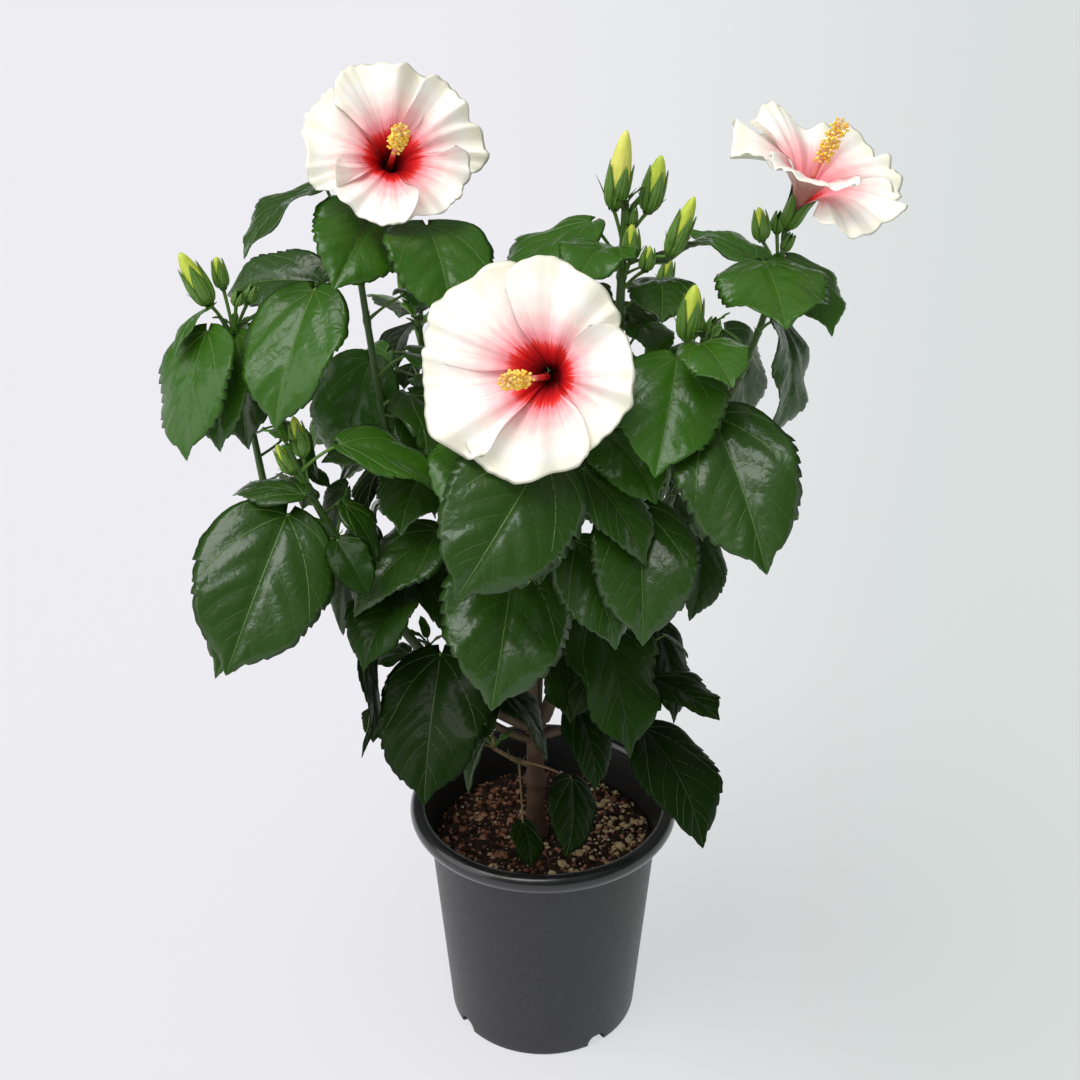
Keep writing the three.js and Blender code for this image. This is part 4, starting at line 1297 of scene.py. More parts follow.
    def add_vein(self, draft: Draft, line: Array, over: Array, vein: Vein, finish: Finish) -> None:
        """Adds one vein: a slim bar that lies just proud of the face and of the back.

        Args:
            draft: The piece that takes it.
            line: Its course over the middle surface.
            over: The directions out of the face along it.
            vein: The vein.
            finish: The finish of its upper side.
        """
        aside = np.cross(over, unit(np.gradient(line, axis=0)))
        breadth = vein.breadth * (0.35 + self.spec.blade / 140)
        wide = (breadth * np.linspace(1, 0.3, len(line)) / 2)[:, None]
        high = 0.5 * self.thickness + (0.16 if vein.main else 0.1)
        corners = [line + over * high + aside * wide, line + over * high - aside * wide,
                   line - over * (high + 0.25) - aside * wide * 1.2,
                   line - over * (high + 0.25) + aside * wide * 1.2]
        index = ring_index(len(line), 4)
        add_grid(draft, np.stack(corners, 1).reshape(-1, 3), index[:, :2], finish)
        draft.extend_grid(index[:, 1:], VEIN_BACK)
        draft.extend_faces(np.array([[3, 2, 1, 0], index[-1, :4]]), VEIN_BACK)


# ---- buds and blooms ----


@dataclass(frozen=True)
class BudSpec:
    """Where a bud's stalk leaves its stem, the direction of its axis, and its size."""

    at: float
    turn: float
    rise: float
    stalk: float
    lean: float
    tilt: float
    length: float
    girth: float

    def foot(self, stem: Bend) -> Array:
        """Where the stalk meets the bud."""
        return stem.at(self.at) + direction(self.turn, self.rise) * self.stalk


@dataclass(frozen=True)
class Spindle:
    """Directions about an axis, to place parts round it."""

    foot: Array
    axis: Array

    def sides(self) -> tuple[Array, Array]:
        """Two directions square to the axis."""
        aside = off_axis(self.axis)
        first = unit(aside - self.axis * (aside @ self.axis))
        return first, np.cross(self.axis, first)

    def at(self, far: Array, radius: Array, angle: Array) -> Array:
        """Points at a distance along the axis, off it, and round it."""
        first, second = self.sides()
        spoke = np.cos(angle)[..., None] * first + np.sin(angle)[..., None] * second
        return self.foot + np.asarray(far)[..., None] * self.axis + radius[..., None] * spoke


def bud_profile(u: Array) -> Array:
    """A bud's radius along its length, as a share of its greatest."""
    return np.interp(u, [0, 0.05, 0.14, 0.27, 0.4, 0.55, 0.7, 0.82, 0.92, 1],
                     [0.3, 0.55, 0.84, 0.98, 1, 0.94, 0.8, 0.63, 0.44, 0.14])


@dataclass
class Calyx:
    """Five pointed sepals that hold a bud or the foot of a bloom, with slim bracts below."""

    spindle: Spindle
    length: float
    profile: Callable[[Array], Array]
    rng: np.random.Generator
    sepals: int = 5
    bracts: int = 8
    bract_length: float = 14.0
    joined: float = 0.36
    rows: int = 16
    columns: int = 8
    thickness: float = 0.5

    def add_to(self, draft: Draft) -> None:
        """Adds the sepals and the bracts.

        Args:
            draft: The piece that takes it.
        """
        for k in range(self.sepals):
            u, s = lattice(np.linspace(0, 1, self.rows), np.linspace(-1, 1, self.columns + 1))
            apart = np.clip((u - self.joined) / (1 - self.joined), 0, 1)
            half = TURN / self.sepals * 0.56 * (1 - apart ** 1.9)
            angle = TURN * k / self.sepals + s * half + 0.12 * u * math.sin(2.0 * k)
            keel = 0.5 * (1 - s ** 2) * np.clip(u * 6, 0, 1)
            radius = self.profile(u) + keel + 0.25 * (k % 2) + 0.9 * u ** 5
            points = self.spindle.at(self.length * u, radius, angle)
            add_sheet(draft, points[:, ::-1], self.thickness, SEPAL_SKIN, SEPAL_SKIN)
            middle = self.columns // 2
            for off in (-2, 0, 2):
                end = self.rows if off == 0 else self.rows - 5
                rib = self.spindle.at(self.length * u[1:end, 0], radius[1:end, middle + off] + 0.3,
                                      angle[1:end, middle + off])
                add_tube(draft, rib, np.linspace(0.32, 0.14, len(rib)), 4, SEPAL_RIB)
        for k in range(self.bracts):
            self.add_bract(draft, TURN * (k + 0.4 * self.rng.uniform(-1, 1)) / self.bracts)

    def add_bract(self, draft: Draft, turn: float) -> None:
        """Adds one slim bract, which leans out from the calyx.

        Args:
            draft: The piece that takes it.
            turn: Where it stands round the axis.
        """
        long = self.bract_length * self.rng.uniform(0.8, 1.15)
        t = np.linspace(0, 1, 8)
        lean = self.rng.uniform(0.15, 0.5)
        out = self.profile(np.zeros(8)) + long * lean * t ** 1.3 + 1.2 * t ** 0.5
        line = self.spindle.at(long * t * 0.9 - 1.0, out, np.full(8, turn))
        add_tube(draft, line, np.interp(t, [0, 0.3, 1], [0.5, 0.7, 0.12]), 5, SEPAL_SKIN)


@dataclass
class Bud:
    """One flower bud on its stalk."""

    spec: BudSpec
    stem: Bend
    rng: np.random.Generator
    rows: int = 24
    sides: int = 30
    furl: float = 0.07

    def cover(self) -> float:
        """How much of the bud its sepals cover: less on a ripe one."""
        return float(np.interp(self.spec.length, [15, 30, 40, 50], [1.0, 0.86, 0.76, 0.6]))

    def add_to(self, draft: Draft) -> None:
        """Adds the furled petals, the calyx and the bracts to the buds of the mass.

        Args:
            draft: The piece that takes it.
        """
        spec, cover = self.spec, self.cover()
        spindle = Spindle(spec.foot(self.stem), direction(spec.lean, spec.tilt))
        girth = spec.girth / 2
        u = np.linspace(0.02, 1, self.rows)
        twist = np.arange(self.sides)[None, :] * TURN / self.sides + 1.4 * u[:, None]
        fold = (2.5 * twist / math.pi) % 1.0
        furl = 1 + self.furl * (fold - 0.4) * np.clip(u[:, None] * 2 - 0.5, 0, 1)
        radius = girth * 0.9 * bud_profile(u)[:, None] * furl
        far = np.repeat((u * spec.length)[:, None], self.sides, 1)
        if cover < 1:
            finish = BUD_PALE if spec.length > 45 else BUD_PETAL
            add_rings(draft, spindle.at(far, radius, twist), finish)

        def hold(part: Array) -> Array:
            """The calyx's radius along its own length."""
            return girth * 0.92 * bud_profile(np.asarray(part) * cover) + 0.3

        Calyx(spindle, spec.length * cover, hold, self.rng, joined=0.3 if cover < 1 else 0.5,
              bract_length=spec.length * 0.42 + 2).add_to(draft)


@dataclass(frozen=True)
class BloomSpec:
    """An open bloom: its foot, the direction it faces, its radius and its turn.

    `eye` is how far the throat lies off the axis, aside and to the front, `lean` is how far the
    column leans the same two ways in degrees, and `crumple` is how strongly the margin waves.
    Each petal has its own reach and lift, and a pale bloom has a rose throat.
    """

    foot: Triple
    facing: float
    lift: float
    radius: float
    spin: float
    eye: tuple[float, float] = (0.0, 0.0)
    lean: tuple[float, float] = (0.0, 0.0)
    column: float = 84.0
    crumple: float = 1.0
    seed: int = 1
    reaches: tuple[float, ...] = (1, 1, 1, 1, 1)
    lifts: tuple[float, ...] = (0, 0, 0, 0, 0)
    pale: bool = False


@dataclass
class Bloom:
    """An open bloom of five ruffled petals round a column of anthers."""

    spec: BloomSpec
    petals: int = 5
    depth: float = 44
    foot_radius: float = 3
    spread: float = 50
    slant: float = 6
    ruffle: float = 3.5
    thickness: float = 0.6
    reserve: float = 84
    head: float = 24
    head_radius: float = 6.2
    calyx_length: float = 28
    calyx_radius: float = 8
    sepal_drop: float = 4
    anthers: int = 92
    rows: int = 38
    columns: int = 54
    column_steps: int = 24
    column_seed: int = 50
    calyx_seed: int = 90

    def axes(self) -> tuple[Array, Array, Array, Array]:
        """The foot, and the directions along the axis, aside and to the front."""
        axis = direction(self.spec.facing, self.spec.lift)
        aside = direction(self.spec.facing + 90, 0)
        return np.array(self.spec.foot, float), axis, aside, np.cross(axis, aside)

    def petal(self, t: Array, s: Array, number: int) -> tuple[Array, Array, Array]:
        """The plain middle surface of a petal.

        Args:
            t: From the foot to the rim.
            s: From one edge to the other.
            number: The petal's number.

        Returns:
            The distance off the axis, the angle round it, and the height along it.
        """
        turn = (self.spec.spin + 360 * number / self.petals) * RADIAN
        reach = self.spec.radius - self.foot_radius
        away = self.foot_radius + reach * t ** 1.9 * (1 - 0.1 * s ** 4)
        angle = turn + s * self.spread * RADIAN * (0.75 + 0.25 * t)
        wave = self.ruffle * t ** 3 * np.sin(7 * s + number * 2.1)
        return away, angle, self.depth * (1 - (1 - t) ** 2.4) + s * self.slant * t + wave

    def points(self, away: Array, angle: Array, height: Array) -> Array:
        """Points from their distance off the axis, angle and height."""
        foot, axis, aside, front = self.axes()
        return (foot + height[..., None] * axis + (away * np.cos(angle))[..., None] * aside
                + (away * np.sin(angle))[..., None] * front)

    def crowd_points(self) -> Array:
        """Points all over the bloom, for the rule that keeps leaves apart.

        Returns:
            One row for each point.
        """
        t, s = lattice([0.3, 0.5, 0.65, 0.8, 0.9, 1], [-1, -0.6, -0.2, 0.2, 0.6, 1])
        found = [self.points(*self.petal(t, s, k)).reshape(-1, 3) for k in range(self.petals)]
        foot, axis, _, _ = self.axes()
        found.append(foot + axis * (np.arange(9) / 8 * self.reserve)[:, None])
        return np.concatenate(found)

    def stalk(self, stem: Bend) -> Bend:
        """The stalk, from the stem's tip up into the calyx.

        Args:
            stem: The stem that it stands on.

        Returns:
            Its line.
        """
        foot, axis, _, _ = self.axes()
        start, low = stem.at(1.0), foot - axis * self.sepal_drop
        bend = low - axis * np.linalg.norm(start - low) * 0.4
        return Bend(start, bend, low)

    def ruffled(self, t: Array, s: Array, number: int,
                rng: np.random.Generator) -> tuple[Array, Array]:
        """A petal's middle surface with its ruffles, and the marks that its finish reads.

        Args:
            t: From the foot to the rim.
            s: From one edge to the other.
            number: The petal's number.
            rng: The bloom's own chance.

        Returns:
            Points, and their marks: the place across, the share of the radius, the number.
        """
        crumple = self.spec.crumple
        phase = rng.uniform(0, TURN, 8)
        round_off = 1 - 0.13 * np.abs(s) ** 5
        away, angle, height = self.petal(t * round_off, s, number)
        rim = t ** 3.4 * crumple
        swing = 1 + 0.5 * np.sin(3.1 * s + phase[5])
        course = 7 * s + 0.8 * np.sin(3 * s + phase[3]) + phase[0] + 1.2 * t
        fine = 15 * s + 1.5 * np.sin(4 * s + phase[4]) + phase[1] + 2 * t
        crinkle = 31 * s + 2 * np.sin(5 * s + phase[6]) + phase[2] + 4 * t
        height = height + rim * (3.4 * np.sin(course) + 2.0 * swing * np.sin(fine)
                                 + 0.8 * swing * np.sin(crinkle))
        away = away + rim * (1.2 * np.sin(course + 1.5) + 0.7 * swing * np.sin(fine + 1.5)
                             + 0.35 * np.sin(crinkle + 1.3) - 1.2)
        pleat = bell((s - rng.uniform(-0.75, 0.75)) / 0.16) * np.sin(t * math.pi) ** 2
        height = height + 2.6 * crumple * pleat * rng.choice((-1, 1))
        height = height + 1.6 * np.sin(math.pi * t) * (np.cos(2.4 * s) - 0.5)
        height = height + (rng.uniform(-3, 2) + self.spec.lifts[number]) * t ** 2
        near_rim = np.clip((t - 0.75) / 0.25, 0, 1) ** 2
        curl = bell((s - rng.uniform(-0.7, 0.7)) / 0.26) * near_rim
        away = away - 4.0 * crumple * curl
        height = height + 4.0 * crumple * curl * rng.choice((-1, 1, 1))
        away = away * (1 - (1 - self.spec.reaches[number]) * t ** 1.5)
        edge = np.abs(s) ** 7 * np.clip(t * 2 - 0.5, 0, 1)
        angle = angle + 0.07 * edge * np.sin(8 * t + phase[7] + 2 * np.sign(s))
        height = height + 2.6 * crumple * edge * np.sin(12 * t + phase[3] + np.sign(s))
        foot, _, aside, front = self.axes()
        shift = (1 - t ** 2) * np.clip(t / 0.2, 0, 1)
        points = self.points(away, angle, height)
        points = points + shift[..., None] * (aside * self.spec.eye[0] + front * self.spec.eye[1])
        marks = np.stack([s * 1.2, away / self.spec.radius, np.full_like(t, number + 0.5)], -1)
        return points, marks

    def dress_petals(self, name: str) -> bpy.types.Object:
        """Makes the five petals, ruffled and ribbed, as one piece.

        Args:
            name: The piece's name.

        Returns:
            The piece.
        """
        draft = Draft()
        rng = np.random.default_rng(self.spec.seed)
        t, s = lattice(np.linspace(0, 1, self.rows) ** 0.85, np.linspace(-1, 1, self.columns + 1))
        for k in range(self.petals):
            points, marks = self.ruffled(t, s, k, rng)
            face = PETAL_FACE_PALE if self.spec.pale else PETAL_FACE
            add_sheet(draft, points, self.thickness, face, PETAL_BACK, marks)
        return draft.build(name, mark="petal")

    def dress_column(self, name: str) -> bpy.types.Object:
        """Makes the column, its filaments and anthers, and the five stigma pads.

        Args:
            name: The piece's name.

        Returns:
            The piece.
        """
        draft = Draft()
        rng = np.random.default_rng(self.spec.seed + self.column_seed)
        foot, axis, aside, front = self.axes()
        lean = [math.tan(part * RADIAN) for part in self.spec.lean]
        long, steps = self.spec.column, self.column_steps
        u = np.linspace(0, 1, steps)
        lean_part = (u ** 1.3)[:, None] * (aside * lean[0] + front * lean[1]) * long
        line = foot + axis * (u * (long - 3))[:, None] + lean_part
        eye = aside * self.spec.eye[0] + front * self.spec.eye[1]
        line = line + np.interp(u, [0, 0.25, 1], [0, 1, 1])[:, None] * eye
        radii = np.interp(u, [0, 0.06, 0.3, 1], [4.0, 2.7, 2.0, 1.0])
        for first, last, finish in ((0, 8, COLUMN_BASE), (7, 12, COLUMN_MID),
                                    (11, 17, COLUMN_PINK), (16, steps, COLUMN_TIP)):
            add_tube(draft, line[first:last], radii[first:last], 10, finish)
        neck = 1 - (self.head + 4) / long
        for k in range(self.anthers):
            part = neck + (1 - neck) * (k + 0.5) / self.anthers
            turn = GOLDEN_ANGLE * RADIAN * k
            spoke = aside * math.cos(turn) + front * math.sin(turn)
            core = np.array([np.interp(part, u, line[:, i]) for i in range(3)])
            reach = (self.head_radius - 0.4) * rng.uniform(0.55, 1.0)
            end = core + spoke * reach + axis * rng.uniform(0.5, 4.0)
            start = core + spoke * 0.8
            add_tube(draft, np.stack([start, (start + end) / 2 + axis * 0.5, end]),
                     np.array([0.3, 0.22, 0.18]), 4, COLUMN_TIP)
            size = rng.uniform(0.9, 1.25)
            add_ball(draft, end, np.array([1.1, 1.1, 0.85]) * size,
                     ANTHER_PALE if rng.random() < 0.7 else ANTHER)
        for k in range(self.petals):
            turn = TURN * k / self.petals + 0.4
            spoke = aside * math.cos(turn) + front * math.sin(turn)
            end = line[-1] + axis * 4.0 + spoke * 3.4
            add_tube(draft, np.stack([line[-1] - axis, line[-1] + axis * 2 + spoke * 1.2, end]),
                     np.array([0.45, 0.4, 0.35]), 5, COLUMN_TIP)
            add_ball(draft, end, np.full(3, 1.25), STIGMA)
        return draft.build(name)

    def add_calyx(self, draft: Draft) -> None:
        """Adds the calyx at the bloom's foot.

        Args:
            draft: The piece that takes it.
        """
        foot, axis, _, _ = self.axes()
        spindle = Spindle(foot - axis * self.sepal_drop, axis)

        def hold(part: Array) -> Array:
            """The calyx's radius along its length."""
            return self.calyx_radius * np.interp(part, [0, 0.1, 0.3, 0.6, 0.85, 1],
                                                 [0.3, 0.62, 0.78, 0.84, 1.0, 1.2])

        rng = np.random.default_rng(self.spec.seed + self.calyx_seed)
        Calyx(spindle, self.calyx_length, hold, rng, bract_length=15).add_to(draft)


# ---- the crown ----


@dataclass(frozen=True)
class FillSpec:
    """Leaves that grow by rule along a stem, a golden angle apart."""

    count: int
    start: float
    end: float
    first: float
    small: float
    large: float
    hang: float
    seed: int


@dataclass(frozen=True)
class MassSpec:
    """One mass of foliage: its stem, and what stands on it."""

    name: str
    stem: LimbSpec
    fill: FillSpec
    leaves: tuple[LeafSpec, ...]
    buds: tuple[BudSpec, ...]
    blooms: tuple[BloomSpec, ...]


def mass_of(name: str, stem: tuple[str | float, ...], fill: Row, leaves: tuple[Row, ...] = (),
            buds: tuple[Row, ...] = (), bloom: BloomSpec | None = None) -> MassSpec:
    """One mass from rows of numbers, each in the order of its spec's own fields.

    Args:
        name: Its name after "foliage_".
        stem: The parent limb and the numbers of a `LimbSpec`.
        fill: The numbers of its `FillSpec`.
        leaves: A row for each leaf that is set one by one.
        buds: A row for each bud.
        bloom: Its open bloom, if it has one.

    Returns:
        The mass.
    """
    return MassSpec("foliage_" + name, LimbSpec("", *stem), FillSpec(*fill),
                    tuple(LeafSpec(*row) for row in leaves), tuple(BudSpec(*row) for row in buds),
                    () if bloom is None else (bloom,))


# ---- the masses of foliage ----


MASSES: tuple[MassSpec, ...] = (
    mass_of(
        "low_left", ("bough_low_left", 1, 194, 59, 127, 0.62, 0.45, 3.2, 2.2),
        (3, 0.15, 0.85, 100, 60, 85, 55, 11),
        leaves=(
            (0.55, -140, 30, 35, 110, 0.86, -115, 40, -30),
            (0.28, 80, 10, 40, 76, 0.78, -140, 60, 0),
            (0.33, 150, 10, 34, 112, 0.66, -125, 32, 0),
            (0.47, 75, 45, 35, 48, 0.7, 160, 65, -45),
            (0.57, -125, 55, 33, 54, 0.78, 160, 5, -5),
            (0.25, -20, -10, 32, 66, 0.85, -115, 25, 5),
            (0.1, 160, -45, 28, 103, 0.6, -80, 70, -75),
            (0.23, 5, 30, 60, 80, 0.8, -140, 25, 0)),
        buds=(
            (0.75, -165, 85, 25, 150, 78, 27, 11),
            (0.7, -155, 60, 25, 160, 60, 21, 9))),
    mass_of(
        "left", ("bough_left", 1, 188, 15, 140, 0.6, 0.5, 2.8, 1.8),
        (6, 0.45, 0.98, 60, 60, 85, 50, 12),
        leaves=(
            (0.88, -130, 45, 33, 84, 0.86, -105, 50, 20),
            (0.75, -100, 80, 34, 76, 0.76, -100, 50, 20),
            (0.85, 80, 15, 34, 81, 0.76, -95, 50, 25),
            (0.9, 170, 65, 33, 48, 0.5, -115, 20, 35),
            (1.0, 25, 20, 67, 78, 0.68, 160, 10, -30)),
        buds=(
            (0.97, -165, 60, 27, 165, 62, 38, 15),
            (1.0, 125, 70, 28, 140, 78, 21, 9),
            (0.97, 15, 65, 25, 40, 60, 12, 7),
            (0.95, -45, 80, 27, -30, 65, 11, 7))),
    mass_of(
        "upper_left", ("bough_upper_left", 1, 172, 18, 145, 0.6, 0.5, 3.0, 2.2),
        (7, 0.1, 0.95, 40, 60, 90, 45, 13),
        leaves=(
            (1.0, -130, 5, 41, 93, 0.8, -110, 45, 5),
            (1.0, 160, 70, 64, 76, 0.6, -135, 20, 15),
            (1.0, 5, 75, 47, 80, 0.9, -105, 15, -30),
            (1.0, -25, 40, 66, 80, 0.94, -75, 30, -5),
            (0.8, 15, 30, 35, 60, 0.7, -65, 0, -10),
            (0.38, 110, 45, 34, 86, 0.88, -145, 70, -30),
            (0.23, -60, 5, 37, 64, 0.72, -150, -10, -10),
            (0.17, -65, 5, 39, 55, 0.85, 65, -15, -15),
            (0.15, -35, 5, 41, 72, 0.9, -110, 15, 10)),
        bloom=BloomSpec((-101, 36, 660), -77, 34, 61, 20, crumple=1.3, seed=3,
                        reaches=(1, 1, 1, 0.84, 0.84), lifts=(0, 0, 0, 7, 7))),
    mass_of(
        "centre", ("bough_centre", 1, 270, 6, 100, 0.5, 0.5, 3.0, 2.2),
        (6, 0.1, 0.9, 20, 60, 90, 45, 14),
        leaves=(
            (1.0, -75, 0, 39, 108, 0.86, -125, 35, -35),
            (0.1, -115, 5, 23, 102, 0.92, -100, 35, -15),
            (0.78, -155, 35, 33, 64, 0.9, -120, 15, -5)),
        bloom=BloomSpec((-2, -60, 563), -104, 24, 69, -8, eye=(11, -2), lean=(-8, -4),
                        crumple=0.75, seed=5)),
    mass_of(
        "top", ("bough_right_main", 1, -34, 4, 128, 0.5, 0.5, 3.6, 2.4),
        (8, 0.1, 0.95, 70, 60, 90, 45, 15),
        leaves=(
            (0.7, 145, 45, 35, 88, 0.72, -145, 20, 5),
            (0.65, -110, 50, 34, 60, 0.85, -115, 0, 0),
            (0.45, 5, 40, 34, 58, 0.9, -90, 5, 0),
            (0.65, 40, 0, 40, 55, 0.6, -55, -30, 0),
            (0.25, 120, 60, 33, 60, 0.7, 50, 40, 0),
            (0.15, 35, 50, 33, 50, 0.7, -80, 5, 0)),
        buds=(
            (0.8, -165, 75, 27, 0, 82, 50, 16),
            (0.8, 15, 55, 27, 0, 78, 37, 15),
            (0.7, -25, 20, 34, 0, 70, 41, 13),
            (0.57, -50, 70, 25, -90, 85, 24, 11),
            (0.72, 20, 80, 25, 0, 85, 13, 8),
            (0.57, -35, 45, 25, 0, 80, 16, 9))),
    mass_of(
        "right", ("bough_right", 1, 10, 25, 88, 0.6, 0.4, 2.6, 2.0),
        (6, 0.05, 0.9, 0, 60, 88, 50, 16),
        leaves=(
            (0.7, -115, 55, 34, 80, 0.96, -85, 10, 0),
            (0.62, 20, 70, 33, 64, 0.8, -60, 30, -10),
            (0.57, 115, 65, 33, 64, 0.78, 130, -5, 5),
            (0.4, -70, 35, 34, 79, 0.66, -90, 50, -55),
            (0.2, 105, 0, 47, 74, 0.82, -30, 70, 10)),
        buds=(
            (0.85, -155, 60, 27, 180, 82, 22, 11),
            (0.85, 110, 80, 26, 0, 85, 14, 9),
            (0.72, 30, 75, 27, 0, 65, 13, 6)),
        bloom=BloomSpec((158, 22, 632), -35, 66, 62, 50, column=76, crumple=1.0, seed=7,
                        reaches=(1, 1, 0.86, 1, 1), lifts=(0, 0, 13, -3, 0), pale=True)),
    mass_of(
        "right_front", ("bough_right_front", 1, -45, 37, 143, 0.5, 0.4, 2.6, 2.0),
        (4, 0.05, 0.9, -20, 55, 80, 50, 17),
        leaves=(
            (0.7, -150, 75, 34, 84, 0.88, -100, 35, -5),
            (0.8, -80, 65, 35, 56, 0.85, -75, 5, 5),
            (0.62, -60, 25, 34, 106, 0.82, -65, 40, 15),
            (0.45, 170, 10, 45, 66, 0.84, -60, 15, 5),
            (0.55, 115, 15, 44, 58, 0.8, -80, 15, -20),
            (0.25, -125, 0, 34, 91, 0.88, -90, 45, -15),
            (0.1, 20, -35, 35, 64, 0.82, -95, 45, -40)),
        buds=(
            (0.82, -145, 75, 28, 0, 84, 36, 16),
            (0.85, 10, 70, 25, 0, 78, 12, 9))),
    mass_of(
        "lower_right", ("bough_lower_right", 1, -20, 23, 55, 0.5, 0.5, 2.4, 1.8),
        (5, 0.1, 0.95, 30, 60, 85, 55, 18),
        leaves=(
            (1.0, -170, 45, 50, 108, 0.7, -70, 42, -20),
            (0.8, 70, 0, 48, 76, 0.66, -75, 40, -25),
            (0.25, -35, 35, 34, 66, 0.78, -50, 0, -5),
            (0.1, 10, -50, 39, 95, 0.72, -60, 30, -10),
            (0.15, -165, -10, 27, 61, 0.72, -70, 40, -25),
            (0.4, 165, 20, 50, 54, 0.86, -70, 40, -20))),
    mass_of(
        "lower_left", ("bough_lower_left", 1, 205, 32, 60, 0.5, 0.5, 2.4, 1.8),
        (5, 0.1, 0.95, 170, 55, 80, 55, 19),
        leaves=(
            (1.0, -70, 20, 34, 101, 0.82, -95, 42, 10),
            (0.1, 150, -20, 78, 34, 0.75, -105, 20, 15))),
    mass_of(
        "lower_back", ("bough_lower_back", 1, 100, 30, 62, 0.5, 0.5, 2.4, 1.8),
        (10, 0.05, 1.0, 20, 60, 88, 50, 24)),
    mass_of(
        "foot", ("trunk", 0.6, -150, 30, 26, 0.5, 0.4, 2.0, 1.4),
        (1, 0.6, 0.9, 180, 40, 50, 50, 20),
        leaves=(
            (0.3, -30, 0, 44, 58, 0.8, -90, 36, -35),
            (0.3, -85, -40, 46, 34, 0.78, -75, 35, -15),
            (0.5, -170, 35, 26, 38, 0.6, -110, 42, 45),
            (1.0, -95, 65, 61, 34, 0.85, -115, 35, 10))),
    mass_of(
        "back_left", ("bough_back_left", 1, 140, 24, 145, 0.6, 0.45, 2.8, 1.8),
        (14, 0.03, 1.0, 130, 60, 90, 65, 21),
        buds=((0.95, 140, 70, 26, 150, 76, 26, 11),)),
    mass_of(
        "back", ("bough_back", 1, 95, 26, 115, 0.6, 0.45, 2.8, 1.8),
        (14, 0.03, 1.0, 90, 60, 90, 65, 22),
        buds=((0.97, 60, 75, 26, 60, 80, 30, 12),)),
    mass_of(
        "back_right", ("bough_back_right", 1, 75, 30, 125, 0.6, 0.45, 2.8, 1.8),
        (14, 0.03, 1.0, 50, 56, 84, 70, 23),
        buds=((0.95, 20, 70, 26, 30, 76, 24, 11),)),
)


# ---- the crown grown ----


@dataclass
class Crowd:
    """What stands in the crown, as points by owner."""

    members: list[tuple[str, Array, Array, float]] = field(default_factory=list)

    @staticmethod
    def ball(points: Array) -> tuple[Array, float]:
        """The middle of some points, and how far they reach from it."""
        middle = points.mean(0)
        return middle, float(np.linalg.norm(points - middle, axis=1).max())

    def occupy(self, owner: str, points: Array) -> None:
        """Takes the space about some points."""
        self.members.append((owner, points, *self.ball(points)))

    def is_clear(self, points: Array, mine: Sequence[str], clear: float) -> bool:
        """True where every point stands clear, apart from what the owners in `mine` hold.

        Args:
            points: The points to try.
            mine: Owners that don't count.
            clear: The least gap.

        Returns:
            True where nothing is nearer.
        """
        middle, reach = self.ball(points)
        for owner, others, centre, far in self.members:
            if owner in mine or np.linalg.norm(middle - centre) > reach + far + clear:
                continue
            gaps = np.linalg.norm(points[:, None] - others[None], axis=-1)
            if gaps.min() <= clear:
                return False
        return True


@dataclass(frozen=True)
class Grown:
    """A leaf that has found its place, on a stem or on a twig."""

    stem: Bend
    number: int
    spec: LeafSpec
    small: bool = False


